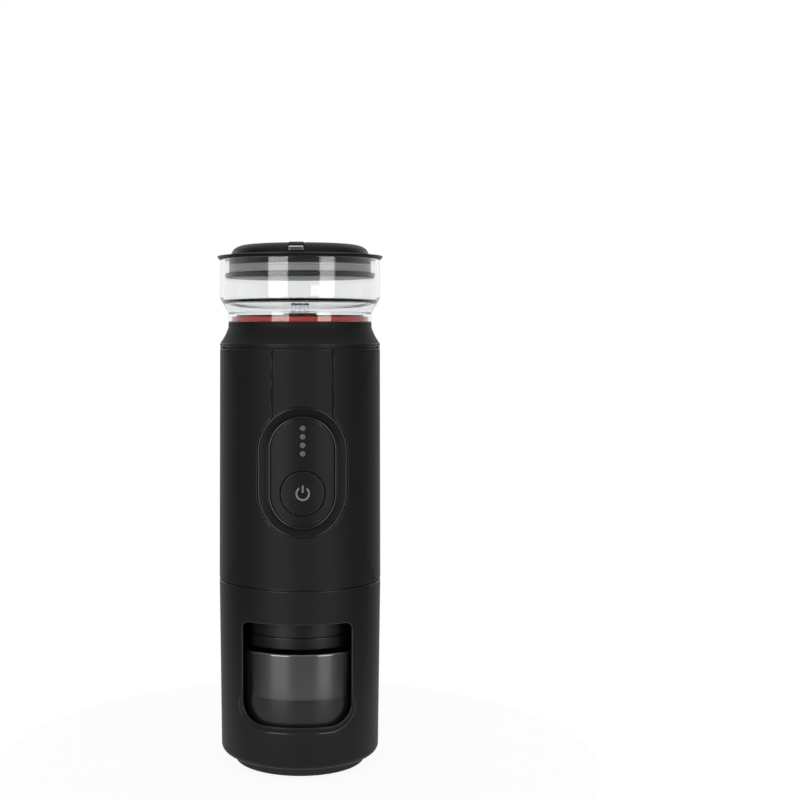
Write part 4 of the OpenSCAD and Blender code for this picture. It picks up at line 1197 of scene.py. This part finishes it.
class ESPRESSO_OT_lid(EspressoOperator, bpy.types.Operator):
    """Lid with its drooping flange and flap slot, the plug under it and the vent flap"""
    bl_idname = "espresso.lid"
    bl_label = "Lid"

    def build(self, s):
        lid_turn = Matrix.Rotation(s.lid_turn, 3, "Z")
        flange_r = high("lid_cap").x
        flange_z = TANK_Z + 2.1
        hollow_r = s.dome_r - 6.2
        hollow_z = TANK_Z + 3.1
        dome = []
        for step in range(DOME_STEPS, 0, -1):
            angle = math.radians(90 * step / DOME_STEPS)
            radius = s.dome_r - s.dome_round * (1 - math.cos(angle))
            dome.append((radius, flange_z + (LID_Z - flange_z) * math.sin(angle), 0))
        hem_in, hem_out, hem_z = s.plug_r - 1.1, s.plug_r - 0.1, TANK_Z - 2.4
        bm = spun([
            (0, LID_Z, 0), (9, LID_Z, 0), (18, LID_Z, 0), *dome,
            (s.dome_r, flange_z, 0.3), (flange_r, TANK_Z + 1.5, 0.25), (flange_r - 1, TANK_Z, 0.15),
            (hem_out, TANK_Z, 0.1), (hem_out, hem_z, 0.2), (hem_in, hem_z, 0.2), (hem_in, TANK_Z, 0),
            (hollow_r, TANK_Z, 0.2), (hollow_r, hollow_z, 0.5), (0, hollow_z, 0),
        ], closed=False)
        self.cut_slot(bm, s)
        bmesh.ops.rotate(bm, verts=bm.verts, matrix=lid_turn)
        add_piece(bm, "lid", "lid_cap")
        plug_z = low("lid_plug").z
        foot_r, foot_z = s.plug_r - 1.4, plug_z + 2.5
        line_z = plug_z + 5.2
        top_r = s.plug_r - 1.2
        well_r, well_z = s.plug_r - 3.5, plug_z + 1.6
        add_piece(spun([
            (0, plug_z, 0), (foot_r, plug_z, 0.3), (foot_r, foot_z, 0), (s.plug_r, foot_z, 0.15),
            (s.plug_r, line_z - 0.2, 0.15), (s.plug_r - 0.25, line_z, 0.1), (s.plug_r, line_z + 0.2, 0.15),
            (s.plug_r, TANK_Z - 2.5, 0.15), (top_r, TANK_Z - 2.3, 0.2), (top_r, TANK_Z, 0),
            (well_r, TANK_Z, 0), (well_r, well_z, 1.0), (0, well_z, 0),
        ], closed=False), "plug", "lid_plug")
        self.add_flap(s, lid_turn)

    def cut_slot(self, bm, s):
        """Sinks the flap's slot into the dome, open to the front."""
        half = s.flap_w / 2 + 0.3
        back_y = -18.4
        floor_z = LID_Z - 1.9
        wall = 0.05

        def touched():
            found = []
            for face in bm.faces:
                spots = [vert.co for vert in face.verts]
                front = min(spot.y for spot in spots) < back_y + 1 and spots[0].z > TANK_Z + 3.6
                middle = min(abs(spot.x) for spot in spots) < half + 3
                if front and middle and max(spot.z for spot in spots) > floor_z:
                    found.append(face)
            return found

        for x in (half, half + wall):
            for way in (-1, 1):
                cut(bm, touched(), (x * way, 0, 0), (1, 0, 0))
        for y in (back_y, back_y + wall):
            cut(bm, touched(), (0, y, 0), (0, 1, 0))
        cut(bm, touched(), (0, 0, floor_z), (0, 0, 1))
        for vert in bm.verts:
            within = abs(vert.co.x) < half + wall / 2 and vert.co.y < back_y + wall / 2
            if within and vert.co.z > floor_z:
                vert.co.z = floor_z
        weld(bm)

    def add_flap(self, s, lid_turn):
        """Flap whose lip hangs over the dome's front, cut from its side view."""
        half = s.flap_w / 2
        z = LID_Z
        side = ((-18.9, z - 1.2), (-18.9, z - 0.5), (-19.5, z), (-28.3, z), (-29.9, z - 0.4),
                (-30.9, z - 1.2), (-31.2, z - 1.9), (-31.75, z - 2.3), (-31.75, z - 4.0),
                (-31.1, z - 4.0), (-30.75, z - 1.6), (-19.5, z - 1.6))
        bm = bmesh.new()
        face = bm.faces.new([bm.verts.new((-half, y, height)) for y, height in side])
        made = bmesh.ops.extrude_face_region(bm, geom=[face])["geom"]
        bmesh.ops.translate(bm, vec=(2 * half, 0, 0), verts=[
            item for item in made if isinstance(item, bmesh.types.BMVert)])
        bmesh.ops.recalc_face_normals(bm, faces=bm.faces)
        bevel(bm, bm.edges[:], 0.2, 3)
        layer = bm.faces.layers.float.new(WEAR)
        for face in bm.faces:
            if face.calc_center_median().z < z - 1.95 and face.normal.y < -0.2:
                face[layer] = 1
        bmesh.ops.rotate(bm, verts=bm.verts, matrix=lid_turn)
        add_piece(bm, "flap", "vent_flap")


class ESPRESSO_OT_controls(EspressoOperator, bpy.types.Operator):
    """Bezel, panel, button and light dots of the control field"""
    bl_idname = "espresso.controls"
    bl_label = "Controls"

    def build(self, s):
        self.add_bezel(s)
        self.add_panel(s)
        self.add_button(s)
        self.add_lights()

    def add_bezel(self, s):
        """Ring that slopes inwards to the panel's groove."""
        bm = bmesh.new()
        loft(bm, skin_rings(stadium(s.bezel_w, s.bezel_h), (
            (-0.15, 3.0), (-0.15, 0.5), (-0.22, 0.3), (-0.45, 0.22), (-0.75, 0.3), (-3.7, 1.4),
            (-4.0, 1.65), (-4.55, 1.75), (-4.55, 3.0), (-0.15, 3.0))))
        weld(bm)
        add_piece(bm, "bezel", "control_bezel")

    def add_panel(self, s):
        """Plate with a raised rim, open round the button."""
        bm = bmesh.new()
        path = stadium(s.panel_w, s.panel_h)
        bore = s.button_r + s.button_gap
        rings = skin_rings(path, (
            (0, 2.2), (0, 0.5), (-0.08, 0.36), (-0.25, 0.28), (-0.6, 0.28), (-0.8, 0.36), (-0.86, 0.8),
            (-1.12, 0.8), (-1.2, 0.66), (-1.4, 0.6)))
        hole = disc_rings(path, ((bore + 0.25, 0.6), (bore + 0.05, 0.68), (bore, 0.9), (bore, 2.2)))
        back = skin_rings(path, ((0, 2.2),))
        loft(bm, rings + between(rings[-1], hole[0], 7) + hole + between(hole[-1], back[0], 4) + back)
        weld(bm)
        add_piece(bm, "panel", "control_panel")

    def add_button(self, s):
        """Round button whose face follows the body."""
        bm = bmesh.new()
        path = outline(2, BUTTON_Z - 1, BUTTON_Z + 1, 1, 1)
        radius = s.button_r
        sunk, deep = 0.4, 2.4
        stations = [(radius, deep)]
        stations += [(radius - out, sunk + drop) for out, drop in rolled_edge(0.35)]
        stations += [(radius * part, sunk) for part in (0.86, 0.72, 0.58, 0.44, 0.3, 0.16, 0)]
        loft(bm, disc_rings(path, stations))
        wall = on_front(body_radius(BUTTON_Z) - deep, 0, BUTTON_Z).y
        back = max(wall, high("brew_button").y)
        for part in (1, 0):
            edges = extruded(bm, [edge for edge in bm.edges if edge.is_boundary])
            for vert in verts_of(edges):
                vert.co = (vert.co.x * part, back, BUTTON_Z + (vert.co.z - BUTTON_Z) * part)
        weld(bm)
        add_piece(bm, "button", "brew_button")

    def add_lights(self):
        """Small domed light dots in a row above the button."""
        bm = bmesh.new()
        dots, radius, sunk, deep = 4, 1.2, 0.45, 2.2
        first = low("indicator_lights").z + radius
        last = high("indicator_lights").z - radius
        turn_forward = Matrix.Rotation(math.radians(90), 4, "X")
        for index in range(dots):
            z = first + (last - first) * index / (dots - 1)
            front = body_radius(z) - sunk
            spot = Matrix.Translation((0, -front + deep / 2, z)) @ turn_forward
            dome = bmesh.ops.create_cone(bm, cap_ends=True, segments=32, radius1=radius, radius2=radius,
                                         depth=deep, matrix=spot)["verts"]
            faces = {face for vert in dome for face in vert.link_faces}
            cap = min(faces, key=lambda face: face.calc_center_median().y)
            bevel(bm, list(cap.edges), 0.3, 4)
        bmesh.ops.recalc_face_normals(bm, faces=bm.faces)
        add_piece(bm, "light_dots", "indicator_lights")


PIECES = (ESPRESSO_OT_body, ESPRESSO_OT_sleeve, ESPRESSO_OT_foot, ESPRESSO_OT_cup, ESPRESSO_OT_holder,
          ESPRESSO_OT_collar, ESPRESSO_OT_tank, ESPRESSO_OT_seals, ESPRESSO_OT_lid, ESPRESSO_OT_controls)
OPERATORS = (ESPRESSO_OT_stage, ESPRESSO_OT_finishes, *PIECES)


class ESPRESSO_PT_panel(bpy.types.Panel):
    """Sidebar panel with the sizes, the colours and a button for each piece"""
    bl_idname = "ESPRESSO_PT_panel"
    bl_label = "Portable espresso maker"
    bl_space_type = "VIEW_3D"
    bl_region_type = "UI"
    bl_category = "Espresso"

    def draw(self, context):
        for operator in OPERATORS:
            self.layout.operator(operator.bl_idname)
        for group in (context.scene.espresso_sizes, context.scene.espresso_colours):
            column = self.layout.column(align=True)
            for name in group.__annotations__:
                column.prop(group, name)


CLASSES = (EspressoSizes, EspressoColours, *OPERATORS, ESPRESSO_PT_panel)


def register():
    """Registers the classes and hangs the settings on the scene."""
    for entry in CLASSES:
        bpy.utils.register_class(entry)
    bpy.types.Scene.espresso_sizes = bpy.props.PointerProperty(type=EspressoSizes)
    bpy.types.Scene.espresso_colours = bpy.props.PointerProperty(type=EspressoColours)


def unregister():
    """Takes the settings and the classes away again."""
    del bpy.types.Scene.espresso_colours
    del bpy.types.Scene.espresso_sizes
    for entry in reversed(CLASSES):
        bpy.utils.unregister_class(entry)


def main():
    """Builds the dressed model."""
    register()
    for operator in OPERATORS:
        group, name = operator.bl_idname.split(".")
        getattr(getattr(bpy.ops, group), name)()


if __name__ == "__main__":
    main()
